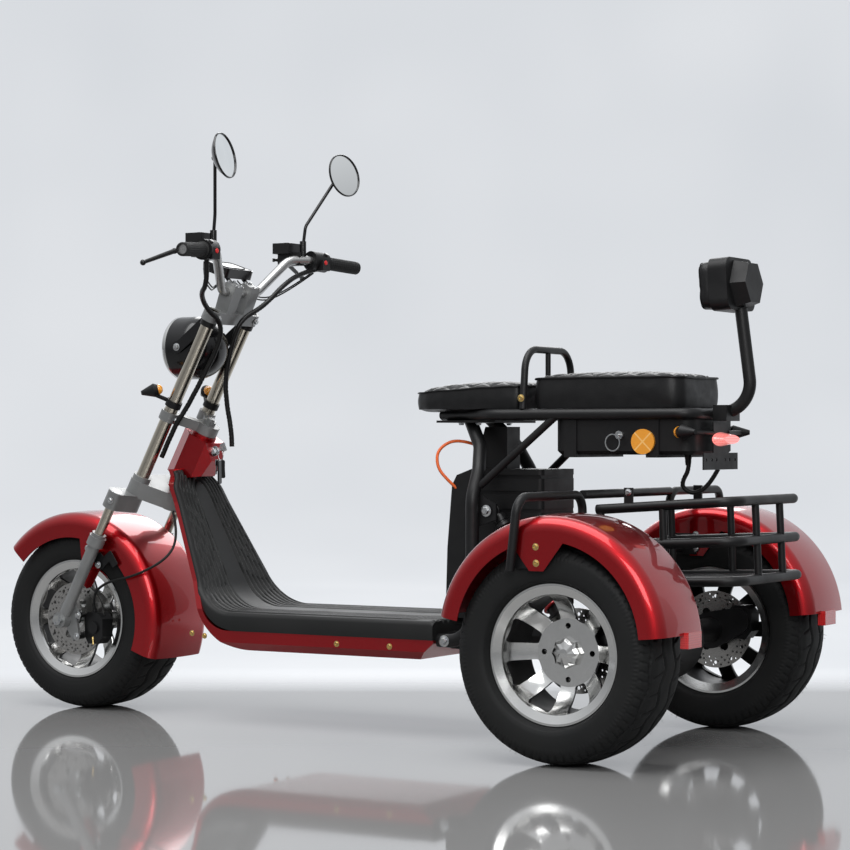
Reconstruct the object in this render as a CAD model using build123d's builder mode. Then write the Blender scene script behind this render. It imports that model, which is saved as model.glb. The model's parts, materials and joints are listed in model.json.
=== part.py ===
from build123d import *
import os
from math import atan2, cos, degrees, pi, radians, sin, sqrt

os.makedirs("parts", exist_ok=True)

# Electric scooter with one steered front wheel and two rear wheels.
# X points forward, Y to the rider's left, Z up; the floor is Z = 0.

# Layout
wheelbase = 1518.0
front_tyre_r = 222.0
front_tyre_half = 97.0
rear_tyre_r = 227.0
rear_tyre_half = 92.0
rear_track = 772.0
axle_fit = 0.3

# Steering head
rake = 28.0
fork_offset = 76.0
stem_r = 14.0

# Fork: heights are measured along the steering axis from the front axle
tube_spacing = 77.0
tube_lead = 66.0
tube_r = 16.0
leg_spacing = 137.0
stanchion_r = 11.8
slider_r = 15.5
slider_top = 240.0
lower_crown_low = 313.0
lower_crown_high = 357.0
socket_low = 378.0
socket_high = 404.0
neck_low = 431.0
neck_high = 548.0
bearing_h = 8.0
mid_crown_h = 24.0
top_crown_low = 824.0
top_crown_high = 852.0
front_axle_r = 7.5
nut_r = 13.0

# Wheels
rim_lip_r = 144.0
rim_bead_r = 127.0
rim_wall = 4.5
rim_flange_t = 7.0
front_rim_half = 87.0
rear_rim_half = 71.0
spoke_count = 8
lug_pitch_r = 55.0
disc_r = 88.0
disc_t = 4.0
front_disc_y = 84.0
rear_disc_in = 44.0
stub_r = 14.0
stub_reach = -6.0

# Handlebar
bar_d = 22.2
grip_r = 16.5
grip_outer = 367.0

# Basket and rails behind the seat
basket_half = 175.0
basket_back = 280.0
basket_front = 42.0
rail_r = 10.5
hoop_r = 9.5

# Body panels
panel_t = 3.0
floor_z = 263.0
belly_z = 173.0
mat_t = 9.0
body_half = 178.0

overall_length = wheelbase + front_tyre_r + basket_back + rail_r
rear_x = basket_back + rail_r - overall_length / 2
front_x = rear_x + wheelbase

# Fork directions: up the steering axis, and square to it towards the front
axis_up = Vector(-sin(radians(rake)), 0, cos(radians(rake)))
axis_front = Vector(cos(radians(rake)), 0, sin(radians(rake)))
axle_point = Vector(front_x, 0, front_tyre_r)


def chassis(x, y, z):
    """A point given forward of the rear axle, to the left, and above the floor"""
    return Vector(rear_x + x, y, z)


def fork(lead, y, height):
    """A point given in front of the steering axis, to the left, and up the axis from the axle"""
    return axle_point + axis_front * (lead - fork_offset) + axis_up * height + Vector(0, y, 0)


def fork_plane(lead, y, height):
    """A plane square to the steering axis; its X points to the front and its Z up the axis"""
    return Plane(origin=fork(lead, y, height), x_dir=axis_front, z_dir=axis_up)


def fork_side(y):
    """A plane along the fork; its X points to the front and its Y up the axis from the axle"""
    return Plane(origin=fork(0, y, 0), x_dir=axis_front, z_dir=Vector(0, -1, 0))


def side_plane(y, x=0.0, z=0.0):
    """An upright lengthwise plane through a chassis point; X forward and Y up"""
    return Plane(origin=chassis(x, y, z), x_dir=Vector(1, 0, 0), z_dir=Vector(0, -1, 0))


def wheel_plane(centre, angle=0.0):
    """A plane whose X is a wheel's radius at an angle above the front and whose Y is to the left"""
    out = Vector(cos(radians(angle)), 0, sin(radians(angle)))
    along = Vector(-sin(radians(angle)), 0, cos(radians(angle)))
    return Plane(origin=centre, x_dir=out, z_dir=along)


def side_at(centre, y):
    """An upright lengthwise plane at a wheel's centre, moved left by y; X forward and Y up"""
    return Plane(origin=centre + Vector(0, y, 0), x_dir=Vector(1, 0, 0), z_dir=Vector(0, -1, 0))


def tube(points, radius, bend):
    """A round bar along straight runs joined by tangent arcs"""
    with BuildPart() as bar:
        with BuildLine() as path:
            if len(points) > 2:
                FilletPolyline(*points, radius=bend)
            else:
                Line(*points)
        with BuildSketch(Plane(origin=path.line @ 0, z_dir=path.line % 0)):
            Circle(radius)
        sweep()
    return bar.part


def rod(start, end, radius, end_radius=None):
    """A straight round bar, tapered when its far end has its own radius"""
    run = Vector(*end) - Vector(*start)
    with BuildPart() as bar:
        with BuildSketch(Plane(origin=start, z_dir=run)):
            Circle(radius)
        if end_radius is None:
            extrude(amount=run.length)
        else:
            with BuildSketch(Plane(origin=end, z_dir=run)):
                Circle(end_radius)
            loft()
    return bar.part


def finish_piece(piece, name):
    """Labels a finished piece and writes it to its own file"""
    piece.part.label = name
    export_step(piece.part, f"parts/{name}.step")


# Wheels
def tyre_ring(radius, half, rim_half, centre):
    """A tyre turned from its section: beads beside the rim's lips, bulged walls, square tread"""
    bead = rim_half - rim_flange_t
    wall = [
        (rim_bead_r, bead),
        (rim_lip_r + 1, bead),
        (rim_lip_r + 5, half - 9),
        (radius - 48, half),
        (radius - 24, half - 3),
        (radius - 7, half - 20),
        (radius, half * 0.45),
    ]
    with BuildPart() as ring:
        with BuildSketch(wheel_plane(centre)):
            with BuildLine():
                Polyline(*wall, *[(r, -y) for r, y in reversed(wall)], close=True)
            make_face()
        revolve(axis=Axis(centre, (0, 1, 0)))
    return ring


def brake_disc(centre, y):
    """A drilled disc on an open carrier, with its middle plane at y from the wheel's"""
    with BuildPart() as disc:
        with BuildSketch(side_at(centre, y)):
            Circle(disc_r)
            Circle(26, mode=Mode.SUBTRACT)
            with PolarLocations(disc_r - 12, 12):
                Circle(4, mode=Mode.SUBTRACT)
            with PolarLocations(44, 6):
                Circle(10, mode=Mode.SUBTRACT)
        extrude(amount=disc_t / 2, both=True)
    return disc


def wheel_rim(centre, rim_half, side, face, hub_r, hub_in, hub_out, bore_r, bore_out, cap_h):
    """A cast rim: lipped barrel, hub and a dished web cut into spokes; face, hub and bore lie at side times their y"""
    lip = [(rim_lip_r, rim_half), (rim_lip_r, rim_half - rim_flange_t)]
    lip += [(rim_bead_r, rim_half - rim_flange_t)]
    inside = [(rim_bead_r - rim_wall, rim_half - rim_flange_t - 1)]
    inside += [(rim_lip_r - rim_wall, rim_half)]
    web_r = rim_bead_r - 2
    web_y = rim_half - 11
    web_t = 13.0
    hub_low, hub_high = sorted((side * hub_in, side * hub_out))
    with BuildPart() as rim:
        with BuildSketch(wheel_plane(centre)):
            with BuildLine():
                Polyline(
                    *lip,
                    *[(r, -y) for r, y in reversed(lip)],
                    *[(r, -y) for r, y in reversed(inside)],
                    *inside,
                    close=True,
                )
            make_face()
        revolve(axis=Axis(centre, (0, 1, 0)))
        with BuildSketch(wheel_plane(centre)):
            with BuildLine():
                Line((hub_r - 6, side * face), (70, side * face))
                ThreePointArc(
                    (70, side * face), (100, side * (face + 0.36 * (web_y - face))), (web_r, side * web_y)
                )
                Line((web_r, side * web_y), (web_r, side * (web_y - web_t - 3)))
                ThreePointArc(
                    (web_r, side * (web_y - web_t - 3)),
                    (96, side * (face - web_t + 0.36 * (web_y - face))),
                    (66, side * (face - web_t)),
                )
                Polyline(
                    (66, side * (face - web_t)), (hub_r - 6, side * (face - web_t)), (hub_r - 6, side * face)
                )
            make_face()
        revolve(axis=Axis(centre, (0, 1, 0)))
        with BuildSketch(side_at(centre, side * (face - web_t - 1))) as window:
            with PolarLocations(0, spoke_count, start_angle=180 / spoke_count):
                Polygon((69, -11), (119, -29), (119, 29), (69, 11), align=None)
            fillet(window.vertices(), 6)
            with PolarLocations(lug_pitch_r, 4):
                Circle(6)
        extrude(amount=-side * (web_y - face + web_t), mode=Mode.SUBTRACT)
        with BuildSketch(side_at(centre, hub_low)):
            Circle(hub_r)
        extrude(amount=hub_low - hub_high)
        if cap_h:
            with BuildSketch(side_at(centre, side * hub_out)):
                RegularPolygon(28, 8)
            extrude(amount=-side * cap_h, taper=18)
        with BuildSketch(side_at(centre, side * hub_in)):
            Circle(bore_r)
        extrude(amount=side * (hub_in - bore_out), mode=Mode.SUBTRACT)
    return rim


front_centre = axle_point
finish_piece(tyre_ring(front_tyre_r, front_tyre_half, front_rim_half, front_centre), "front_tyre")
front_hub_in = -62.0
front_hub_out = front_disc_y - disc_t / 2
front_rim = wheel_rim(
    front_centre,
    front_rim_half,
    side=1,
    face=30.0,
    hub_r=34.0,
    hub_in=front_hub_in,
    hub_out=front_hub_out,
    bore_r=front_axle_r + axle_fit,
    bore_out=front_hub_out,
    cap_h=0,
)
finish_piece(front_rim, "front_rim")
finish_piece(brake_disc(front_centre, front_disc_y), "front_brake_disc")

rear_hub_out = 4.0
rear_hub_in = -(rear_disc_in - disc_t / 2)
rear_centres = {
    "left": chassis(0, rear_track / 2, rear_tyre_r),
    "right": chassis(0, -rear_track / 2, rear_tyre_r),
}
for place, centre in rear_centres.items():
    side = 1 if place == "left" else -1
    tyre = tyre_ring(rear_tyre_r, rear_tyre_half, rear_rim_half, centre)
    finish_piece(tyre, f"rear_{place}_tyre")
    rim = wheel_rim(
        centre,
        rear_rim_half,
        side=side,
        face=rear_hub_out,
        hub_r=36.0,
        hub_in=rear_hub_in,
        hub_out=rear_hub_out,
        bore_r=stub_r + axle_fit,
        bore_out=stub_reach + axle_fit,
        cap_h=17.0,
    )
    finish_piece(rim, f"rear_{place}_rim")
    finish_piece(brake_disc(centre, -side * rear_disc_in), f"rear_{place}_brake_disc")


# Fork and front end
with BuildPart() as lower_crown:
    with BuildSketch(fork_plane(0, 0, lower_crown_high - 5)):
        with BuildLine():
            CenterArc((0, 0), 36, 0, 360)
            for y in (-tube_spacing, tube_spacing):
                CenterArc((tube_lead, y), 24, 0, 360)
        make_hull()
    extrude(amount=socket_low - lower_crown_high + 19)
    for y in (-1, 1):
        with BuildSketch(fork_plane(0, 0, lower_crown_low)):
            with BuildLine():
                CenterArc((fork_offset, y * leg_spacing), 21, 0, 360)
                CenterArc((tube_lead, y * tube_spacing), 22, 0, 360)
            make_hull()
        extrude(amount=lower_crown_high - lower_crown_low)
    with BuildSketch(fork_plane(0, 0, socket_low)):
        with Locations((tube_lead, tube_spacing), (tube_lead, -tube_spacing)):
            Circle(tube_r + 6)
    extrude(amount=socket_high - socket_low)
    with BuildSketch(fork_plane(0, 0, socket_low)):
        with Locations((tube_lead, tube_spacing), (tube_lead, -tube_spacing)):
            Circle(tube_r)
    extrude(amount=socket_high - socket_low, mode=Mode.SUBTRACT)
    with BuildSketch(fork_plane(0, 0, lower_crown_low)):
        with Locations((fork_offset, leg_spacing), (fork_offset, -leg_spacing)):
            Circle(stanchion_r)
    extrude(amount=lower_crown_high - lower_crown_low, mode=Mode.SUBTRACT)
    with BuildSketch(fork_plane(0, 0, lower_crown_high)):
        Circle(stem_r)
    extrude(amount=neck_high + bearing_h + mid_crown_h - lower_crown_high)
finish_piece(lower_crown, "lower_crown")

mid_low = neck_high + bearing_h
mid_high = mid_low + mid_crown_h
with BuildPart() as mid_crown:
    with BuildSketch(fork_plane(0, 0, mid_low)):
        Circle(28)
        for y in (-1, 1):
            arm = atan2(y * tube_spacing, tube_lead)
            with Locations(Location((tube_lead / 2, y * tube_spacing / 2), degrees(arm))):
                Rectangle(sqrt(tube_lead**2 + tube_spacing**2), 20)
            with Locations((tube_lead, y * tube_spacing)):
                Circle(tube_r + 5.5)
        with Locations((tube_lead, tube_spacing), (tube_lead, -tube_spacing)):
            Circle(tube_r, mode=Mode.SUBTRACT)
        Circle(stem_r, mode=Mode.SUBTRACT)
    extrude(amount=mid_crown_h)
    with BuildSketch(fork_plane(0, 0, mid_high)):
        RegularPolygon(17, 6)
    extrude(amount=10)
    with BuildSketch(fork_plane(0, 0, mid_high + 10)):
        Circle(10)
    extrude(amount=5)
finish_piece(mid_crown, "mid_crown")

clamp_y = 34.0
clamp_w = 34.0
bar_lead = 71.0
bar_height = 899.0
with BuildPart() as top_crown:
    with BuildSketch(fork_plane(0, 0, top_crown_low)):
        with Locations((tube_lead - 4, 0)):
            Rectangle(34, 2 * tube_spacing)
        with Locations((tube_lead, tube_spacing), (tube_lead, -tube_spacing)):
            Circle(tube_r + 6)
        with Locations((tube_lead, tube_spacing), (tube_lead, -tube_spacing)):
            Circle(tube_r, mode=Mode.SUBTRACT)
    extrude(amount=top_crown_high - top_crown_low)
    for y in (-clamp_y, clamp_y):
        with BuildSketch(fork_side(y)):
            with BuildLine():
                Polyline(
                    (tube_lead - 21, top_crown_low + 6),
                    (tube_lead + 13, top_crown_low + 6),
                    (bar_lead + 18, bar_height - 8),
                    (bar_lead + 18, bar_height + 14),
                    (bar_lead + 10, bar_height + 22),
                    (bar_lead - 18, bar_height + 22),
                    (bar_lead - 21, bar_height + 10),
                    close=True,
                )
            make_face()
        extrude(amount=clamp_w / 2, both=True)
    with BuildSketch(fork_plane(0, 0, top_crown_low)):
        with Locations((tube_lead, tube_spacing), (tube_lead, -tube_spacing)):
            Circle(tube_r)
    extrude(amount=top_crown_high - top_crown_low, mode=Mode.SUBTRACT)
    with BuildSketch(fork_side(0)):
        with Locations((bar_lead, bar_height)):
            Circle(bar_d / 2)
    extrude(amount=tube_spacing, both=True, mode=Mode.SUBTRACT)
finish_piece(top_crown, "top_crown")

with BuildPart() as fork_tubes:
    with BuildSketch(fork_plane(0, 0, socket_low)):
        with Locations((tube_lead, tube_spacing), (tube_lead, -tube_spacing)):
            Circle(tube_r)
    extrude(amount=top_crown_high - 3 - socket_low)
    with BuildSketch(fork_plane(0, 0, top_crown_high - 30)):
        with Locations((tube_lead, tube_spacing), (tube_lead, -tube_spacing)):
            Circle(tube_r - 2.5)
    extrude(amount=30, mode=Mode.SUBTRACT)
finish_piece(fork_tubes, "fork_tubes")

with BuildPart() as fork_stanchions:
    with BuildSketch(fork_plane(0, 0, slider_top)):
        with Locations((fork_offset, leg_spacing), (fork_offset, -leg_spacing)):
            Circle(stanchion_r)
    extrude(amount=lower_crown_high - slider_top)
finish_piece(fork_stanchions, "fork_stanchions")

collar_h = 24.0
seal_h = 8.0
foot_r = 19.0
caliper_arm_y = leg_spacing - slider_r + 2
with BuildPart() as fork_sliders:
    for y in (-leg_spacing, leg_spacing):
        with BuildSketch(fork_plane(fork_offset, y, 0)):
            Circle(slider_r - 2)
        with BuildSketch(fork_plane(fork_offset, y, slider_top - seal_h)):
            Circle(slider_r)
        loft()
        with BuildSketch(fork_plane(fork_offset, y, slider_top - seal_h - collar_h)):
            Circle(slider_r + 5.5)
        extrude(amount=collar_h)
        with BuildSketch(fork_plane(fork_offset, y, slider_top - seal_h)):
            Circle(slider_r + 2)
        extrude(amount=seal_h)
        with BuildSketch(side_at(axle_point, y)):
            Circle(foot_r)
        extrude(amount=slider_r - 1, both=True)
    with BuildSketch(side_at(axle_point, caliper_arm_y)):
        with BuildLine():
            Polyline((-14, 62), (14, 34), (14, 10), (-24, -52), (-42, -36), (-34, 6), (-44, 26), close=True)
        make_face()
    extrude(amount=4, both=True)
    with BuildSketch(side_at(axle_point, 0)):
        Circle(front_axle_r)
    extrude(amount=leg_spacing + slider_r, both=True, mode=Mode.SUBTRACT)
finish_piece(fork_sliders, "fork_sliders")

leg_inner = leg_spacing - slider_r + 1
leg_outer = leg_spacing + slider_r - 1
nut_t = 9.0
with BuildPart() as front_axle:
    with BuildSketch(side_at(axle_point, 0)):
        Circle(front_axle_r)
    extrude(amount=leg_outer + nut_t, both=True)
    for y in (leg_outer, -leg_outer - nut_t):
        with BuildSketch(side_at(axle_point, y)):
            RegularPolygon(nut_r, 6)
        extrude(amount=-nut_t)
    arm_face = caliper_arm_y - 4
    for low, high in ((front_disc_y + disc_t / 2 + axle_fit, arm_face), (-leg_inner, front_hub_in - axle_fit)):
        with BuildSketch(side_at(axle_point, low)):
            Circle(front_axle_r + 6)
        extrude(amount=low - high)
finish_piece(front_axle, "front_axle")


caliper_outline = [(-36, 22), (-22, 38), (10, 38), (18, 28), (18, -20), (8, -38), (-22, -38), (-36, -20)]


def caliper(centre, arm_x, arm_z, disc_y, half_thick):
    """A brake caliper straddling its disc: a chamfered body with a slot for the disc"""
    with BuildPart() as body:
        with BuildSketch(side_at(centre, disc_y)):
            with Locations((arm_x, arm_z)):
                Polygon(*caliper_outline, align=None)
        extrude(amount=half_thick, both=True)
        with BuildSketch(side_at(centre, disc_y)):
            Circle(disc_r + 2)
        extrude(amount=disc_t / 2 + 1.2, both=True, mode=Mode.SUBTRACT)
        with BuildSketch(side_at(centre, disc_y + half_thick)):
            with Locations((arm_x - 9, arm_z + 1)):
                Circle(15)
        extrude(amount=-5)
    return body


caliper_x = -60.0
caliper_z = -20.0
caliper_half = 20.0
front_caliper = caliper(axle_point, caliper_x, caliper_z, front_disc_y, caliper_half)
with BuildPart() as front_brake_caliper:
    add(front_caliper.part)
    for x, z in ((-40, 12), (-36, -40)):
        with BuildSketch(side_at(axle_point, front_disc_y + caliper_half)):
            with Locations((x, z)):
                Circle(7)
        extrude(amount=front_disc_y + caliper_half - caliper_arm_y + 4)
finish_piece(front_brake_caliper, "front_brake_caliper")

# Handlebar and what it carries
bar_mid = fork(bar_lead, 0, bar_height)
bar_rise = 86.0


def bar_point(x, y, z):
    """A point given from the middle of the handlebar"""
    return bar_mid + Vector(x, y, z)


bar_half = [(0, 70, 0), (-42, 152, bar_rise), (-66, 200, bar_rise + 2), (-101, grip_outer - 4, bar_rise - 9)]
grip_start = bar_point(*bar_half[2])
grip_end = bar_point(*bar_half[3])
grip_run = (grip_end - grip_start).normalized()


def on_grip(distance, y_side):
    """The point on a grip's centre line at a distance from the bar's last bend"""
    point = grip_start + grip_run * distance
    return Vector(point.X, point.Y * y_side, point.Z)


with BuildPart() as handlebar:
    for y_side in (-1, 1):
        half = [bar_mid] + [bar_point(x, y * y_side, z) for x, y, z in bar_half]
        add(tube(half, bar_d / 2, [36, 44, 40]))
finish_piece(handlebar, "handlebar")

pod_from = 8.0
pod_to = 58.0
grip_to = 172.0
with BuildPart() as grips:
    for y_side in (-1, 1):
        add(rod(on_grip(pod_to + 1, y_side), on_grip(grip_to, y_side), grip_r))
        add(rod(on_grip(pod_to + 1, y_side), on_grip(pod_to + 7, y_side), grip_r + 3))
    add(handlebar.part, mode=Mode.SUBTRACT)
finish_piece(grips, "grips")

with BuildPart() as switch_pods:
    for y_side in (-1, 1):
        add(rod(on_grip(pod_from, y_side), on_grip(pod_to, y_side), 24))
        middle = on_grip((pod_from + pod_to) / 2, y_side)
        with Locations(middle + Vector(-14, 0, -10)):
            Box(26, 30, 26)
    add(handlebar.part, mode=Mode.SUBTRACT)
finish_piece(switch_pods, "switch_pods")

with BuildPart() as brake_levers:
    for y_side in (-1, 1):
        clamp = bar_point(-52, y_side * 180, bar_rise)
        pivot = clamp + Vector(46, y_side * 18, 6)
        with Locations(clamp + Vector(22, 0, 4)):
            Box(64, 22, 32)
        with Locations(clamp + Vector(34, 0, 30)):
            Box(46, 58, 26)
        with Locations(clamp + Vector(46, y_side * 16, 4)):
            Box(24, 34, 16)
        bend = pivot + Vector(24, y_side * 36, -6)
        tip = pivot + Vector(42, y_side * 132, -38)
        add(rod(pivot, bend, 6))
        add(rod(bend, tip, 6, 4.5))
        with Locations(bend, tip):
            Sphere(7)
    add(handlebar.part, mode=Mode.SUBTRACT)
    add(switch_pods.part, mode=Mode.SUBTRACT)
finish_piece(brake_levers, "brake_levers")

mirror_r = 53.5
mirror_deep = 25.0
for place, y_side in (("left", 1), ("right", -1)):
    centre = bar_point(-138, y_side * 253, 297)
    base = bar_point(-60, y_side * 188, bar_rise + 34)
    shoulder = bar_point(-66, y_side * 190, bar_rise + 84)
    look = Vector(-1, -y_side * 0.17, 0.2).normalized()
    with BuildPart() as rear_mirror:
        with BuildSketch(Plane(origin=centre, x_dir=look, z_dir=look.cross(Vector(0, 0, 1)))):
            with BuildLine():
                Polyline((-mirror_deep, 0), (0, 0), (0, mirror_r))
                ThreePointArc((0, mirror_r), (-mirror_deep * 0.66, mirror_r * 0.62), (-mirror_deep, 0))
            make_face()
        revolve(axis=Axis(centre, look))
        behind = centre - look * mirror_deep
        with Locations(behind):
            Sphere(8)
        add(tube([base, shoulder, behind], 4, 30))
        add(rod(base - Vector(0, 0, 22), base + Vector(0, 0, 14), 8))
        add(brake_levers.part, mode=Mode.SUBTRACT)
        add(handlebar.part, mode=Mode.SUBTRACT)
    finish_piece(rear_mirror, f"{place}_mirror")

display_base = fork(bar_lead + 52, 0, bar_height + 23)
with BuildPart() as display:
    with BuildSketch(Plane(origin=display_base, z_dir=Vector(-0.35, 0, 1))):
        RectangleRounded(74, 118, 14)
    extrude(amount=22)
    for y in (-clamp_y, clamp_y):
        add(rod(fork(bar_lead + 6, y, bar_height + 18), display_base + Vector(-20, y, -4), 5))
    add(top_crown.part, mode=Mode.SUBTRACT)
finish_piece(display, "display")

lamp_r = 76.0
lamp_lead = 118.8
lamp_height = 726.0
lamp_centre = fork(lamp_lead, 0, lamp_height)
lamp_ear_y = lamp_r + 3
with BuildPart() as headlight:
    with BuildSketch(Plane(origin=lamp_centre, x_dir=Vector(1, 0, 0), z_dir=Vector(0, -1, 0))):
        with BuildLine():
            Polyline((-lamp_r, 0), (46, 0), (46, 10))
            ThreePointArc((46, 10), (44, 40), (38, 68))
            Polyline((38, 68), (42, 70), (42, 74), (38, lamp_r), (0, lamp_r))
            ThreePointArc((0, lamp_r), (-lamp_r * cos(pi / 4), lamp_r * sin(pi / 4)), (-lamp_r, 0))
        make_face()
    revolve(axis=Axis(lamp_centre, (1, 0, 0)))
    with BuildSketch(Plane(origin=lamp_centre, x_dir=Vector(1, 0, 0), z_dir=Vector(0, -1, 0))):
        Circle(6)
    extrude(amount=lamp_ear_y + 8, both=True)
    add(fork_tubes.part, mode=Mode.SUBTRACT)
finish_piece(headlight, "headlight")

with BuildPart() as headlight_bracket:
    for y in (-1, 1):
        with BuildSketch(Plane(origin=fork(0, y * (lamp_ear_y + 2), 0), x_dir=axis_front, z_dir=Vector(0, -1, 0))):
            with BuildLine():
                Polyline(
                    (tube_lead - 4, top_crown_low - 20),
                    (tube_lead + 20, top_crown_low - 2),
                    (lamp_lead + 13, lamp_height - 4),
                    (lamp_lead - 11, lamp_height - 12),
                    close=True,
                )
            make_face()
            with Locations((lamp_lead, lamp_height)):
                Circle(14)
                Circle(6, mode=Mode.SUBTRACT)
        extrude(amount=2, both=True)
        with BuildSketch(fork_plane(tube_lead, y * tube_spacing, top_crown_low - 14)):
            Circle(tube_r + 3)
            Circle(tube_r, mode=Mode.SUBTRACT)
        extrude(amount=13)
    add(fork_tubes.part, mode=Mode.SUBTRACT)
    add(headlight.part, mode=Mode.SUBTRACT)
finish_piece(headlight_bracket, "headlight_bracket")

with BuildPart() as front_turn_signals:
    for y in (1, -1):
        ring_at = 592.0
        tip = fork(122, y * 116, 603)
        root = fork(tube_lead + tube_r + 2, y * tube_spacing, ring_at + 8)
        with BuildSketch(fork_plane(tube_lead, y * tube_spacing, ring_at)):
            Circle(tube_r + 3.5)
            Circle(tube_r, mode=Mode.SUBTRACT)
        extrude(amount=16)
        add(rod(root, tip, 5))
        with Locations(Plane(origin=tip, z_dir=Vector(0.8, y * 0.5, -0.2))):
            Cone(17, 5, 32)
            with Locations((0, 0, -21)):
                Cone(12, 17, 10)
    add(fork_tubes.part, mode=Mode.SUBTRACT)
finish_piece(front_turn_signals, "front_turn_signals")


def arch(centre, start, sweep_deg, crest, lip, half):
    """A fender turned about its wheel from a start angle above the front; its section has a
    crowned top, round shoulders and short straight skirts, panel_t thick"""
    shoulder_r = 30.0
    with BuildPart() as guard:
        with BuildSketch(wheel_plane(centre, start)):
            for inset, mode in ((0.0, Mode.ADD), (panel_t, Mode.SUBTRACT)):
                wall = half - inset
                top = crest - inset
                low = lip - inset / 3
                bend = shoulder_r - inset
                edge = top - 3 - bend
                slope = bend * cos(pi / 4)
                with BuildLine():
                    Line((low, -wall), (low, wall))
                    for y in (-1, 1):
                        Line((low, y * wall), (edge, y * wall))
                        ThreePointArc(
                            (edge, y * wall), (edge + slope, y * (wall - bend + slope)), (edge + bend, y * (wall - bend))
                        )
                    ThreePointArc((edge + bend, wall - bend), (top, 0), (edge + bend, bend - wall))
                make_face(mode=mode)
        revolve(axis=Axis(centre, (0, -1, 0)), revolution_arc=sweep_deg)
    return guard.part


# Front fender, bolted to the fork legs by a plate on each side
front_fender_half = leg_inner - 12.0
with BuildPart() as front_fender:
    add(arch(front_centre, 43.0, 157.0, 264.0, 200.0, front_fender_half))
    for y_side in (-1, 1):
        with BuildSketch(side_at(front_centre, y_side * (front_fender_half - panel_t / 2))):
            with BuildLine():
                Polyline((-30, 206), (-120, 168), (-66, 80), (-52, 76), (-44, 84), close=True)
            make_face()
        extrude(amount=panel_t / 2, both=True)
        for height in (150.0, 196.0):
            eye = fork(fork_offset, 0, height)
            with BuildSketch(side_at(front_centre, y_side * front_fender_half)):
                with Locations((eye.X - front_x - 4, eye.Z - front_tyre_r - 2)):
                    Circle(7)
            extrude(amount=-y_side * (leg_spacing - front_fender_half))
    add(fork_sliders.part, mode=Mode.SUBTRACT)
finish_piece(front_fender, "front_fender")

# Cables on the fork
cable_r = 6.0
hose_r = 3.2
with BuildPart() as control_cables:
    left_loom = [
        on_grip(26, 1) + Vector(4, 0, -20),
        on_grip(18, 1) + Vector(6, 0, -80),
        fork(44, 190, 900),
        fork(44, 140, 862),
        fork(30, 84, 838),
        fork(24, 62, 790),
        fork(26, 66, 700),
        fork(30, 74, 600),
        fork(34, 84, 560),
        fork(38, 76, 470),
    ]
    add(tube(left_loom, cable_r, 30))
    right_loom = [
        on_grip(24, -1) + Vector(-4, 0, -20),
        bar_point(-60, -190, 58),
        bar_point(-56, -120, 30),
        fork(30, -62, 886),
        fork(34, 2, 846),
        fork(30, 4, 790),
        fork(14, -4, 700),
        fork(-16, -14, 640),
        fork(-52, -22, 590),
        fork(-70, -24, 556),
    ]
    add(tube(right_loom, cable_r, 30))
    add(switch_pods.part, mode=Mode.SUBTRACT)
    add(handlebar.part, mode=Mode.SUBTRACT)
    add(brake_levers.part, mode=Mode.SUBTRACT)
    add(top_crown.part, mode=Mode.SUBTRACT)
finish_piece(control_cables, "control_cables")

with BuildPart() as front_brake_hose:
    hose = [
        Vector(front_x + caliper_x - 8, front_disc_y + 12, front_tyre_r + caliper_z + 36),
        Vector(front_x - 74, 118, front_tyre_r + 60),
        Vector(front_x - 130, 134, front_tyre_r + 96),
        Vector(front_x - 215, 126, front_tyre_r + 112),
        Vector(front_x - 286, 84, front_tyre_r + 158),
        Vector(front_x - 282, 48, front_tyre_r + 216),
        fork(-24, 30, lower_crown_high - 5),
    ]
    add(tube(hose, hose_r, 22))
    add(front_brake_caliper.part, mode=Mode.SUBTRACT)
finish_piece(front_brake_hose, "front_brake_hose")

# Steering neck of the frame, with the lock on its rear lobe
neck_bore = stem_r + axle_fit
with BuildPart() as neck:
    with BuildSketch(fork_side(0)):
        with BuildLine():
            Polyline(
                (46, neck_high), (-38, neck_high), (-63, 512), (-56, 467), (-15, neck_low + 9), (46, neck_low),
                close=True,
            )
        make_face()
    extrude(amount=50, both=True)
    with BuildSketch(fork_plane(0, 0, neck_low - 10)):
        with BuildLine():
            Polyline((46, 20), (12, 46), (-38, 40), (-64, 22), (-64, -22), (-38, -40), (12, -46), (46, -20), close=True)
        make_face()
    extrude(amount=neck_high - neck_low + 20, mode=Mode.INTERSECT)
    with BuildSketch(fork_plane(0, 0, neck_low - 10)):
        Circle(neck_bore)
    extrude(amount=neck_high - neck_low + 20, mode=Mode.SUBTRACT)
    cup_low = socket_low + 14 + axle_fit
    for low, high, radius in ((neck_high - 1, neck_high + bearing_h - axle_fit, 30), (cup_low, neck_low + 20, 27)):
        with BuildSketch(fork_plane(0, 0, low)):
            Circle(radius)
            Circle(neck_bore, mode=Mode.SUBTRACT)
        extrude(amount=high - low)
finish_piece(neck, "neck")
neck_core = rod(fork(0, 0, cup_low - 30), fork(0, 0, neck_high), 32)

# Leg shield and floor: lengthwise outlines cut to the width of the front view
shield_foot = 1063.6
shield_top = 590.0
belly_rear = 491.0
floor_rear = 447.0
mat_side = 45.0
shell_band = 22.0
run_per_rise = 1 / 2.04
lean = sqrt(1 + run_per_rise**2)


def shield_x(depth, z):
    """How far forward the sloped shield is at a height, at a depth in front of its top surface"""
    return shield_foot + (z - floor_z) * run_per_rise + depth * lean


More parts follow.
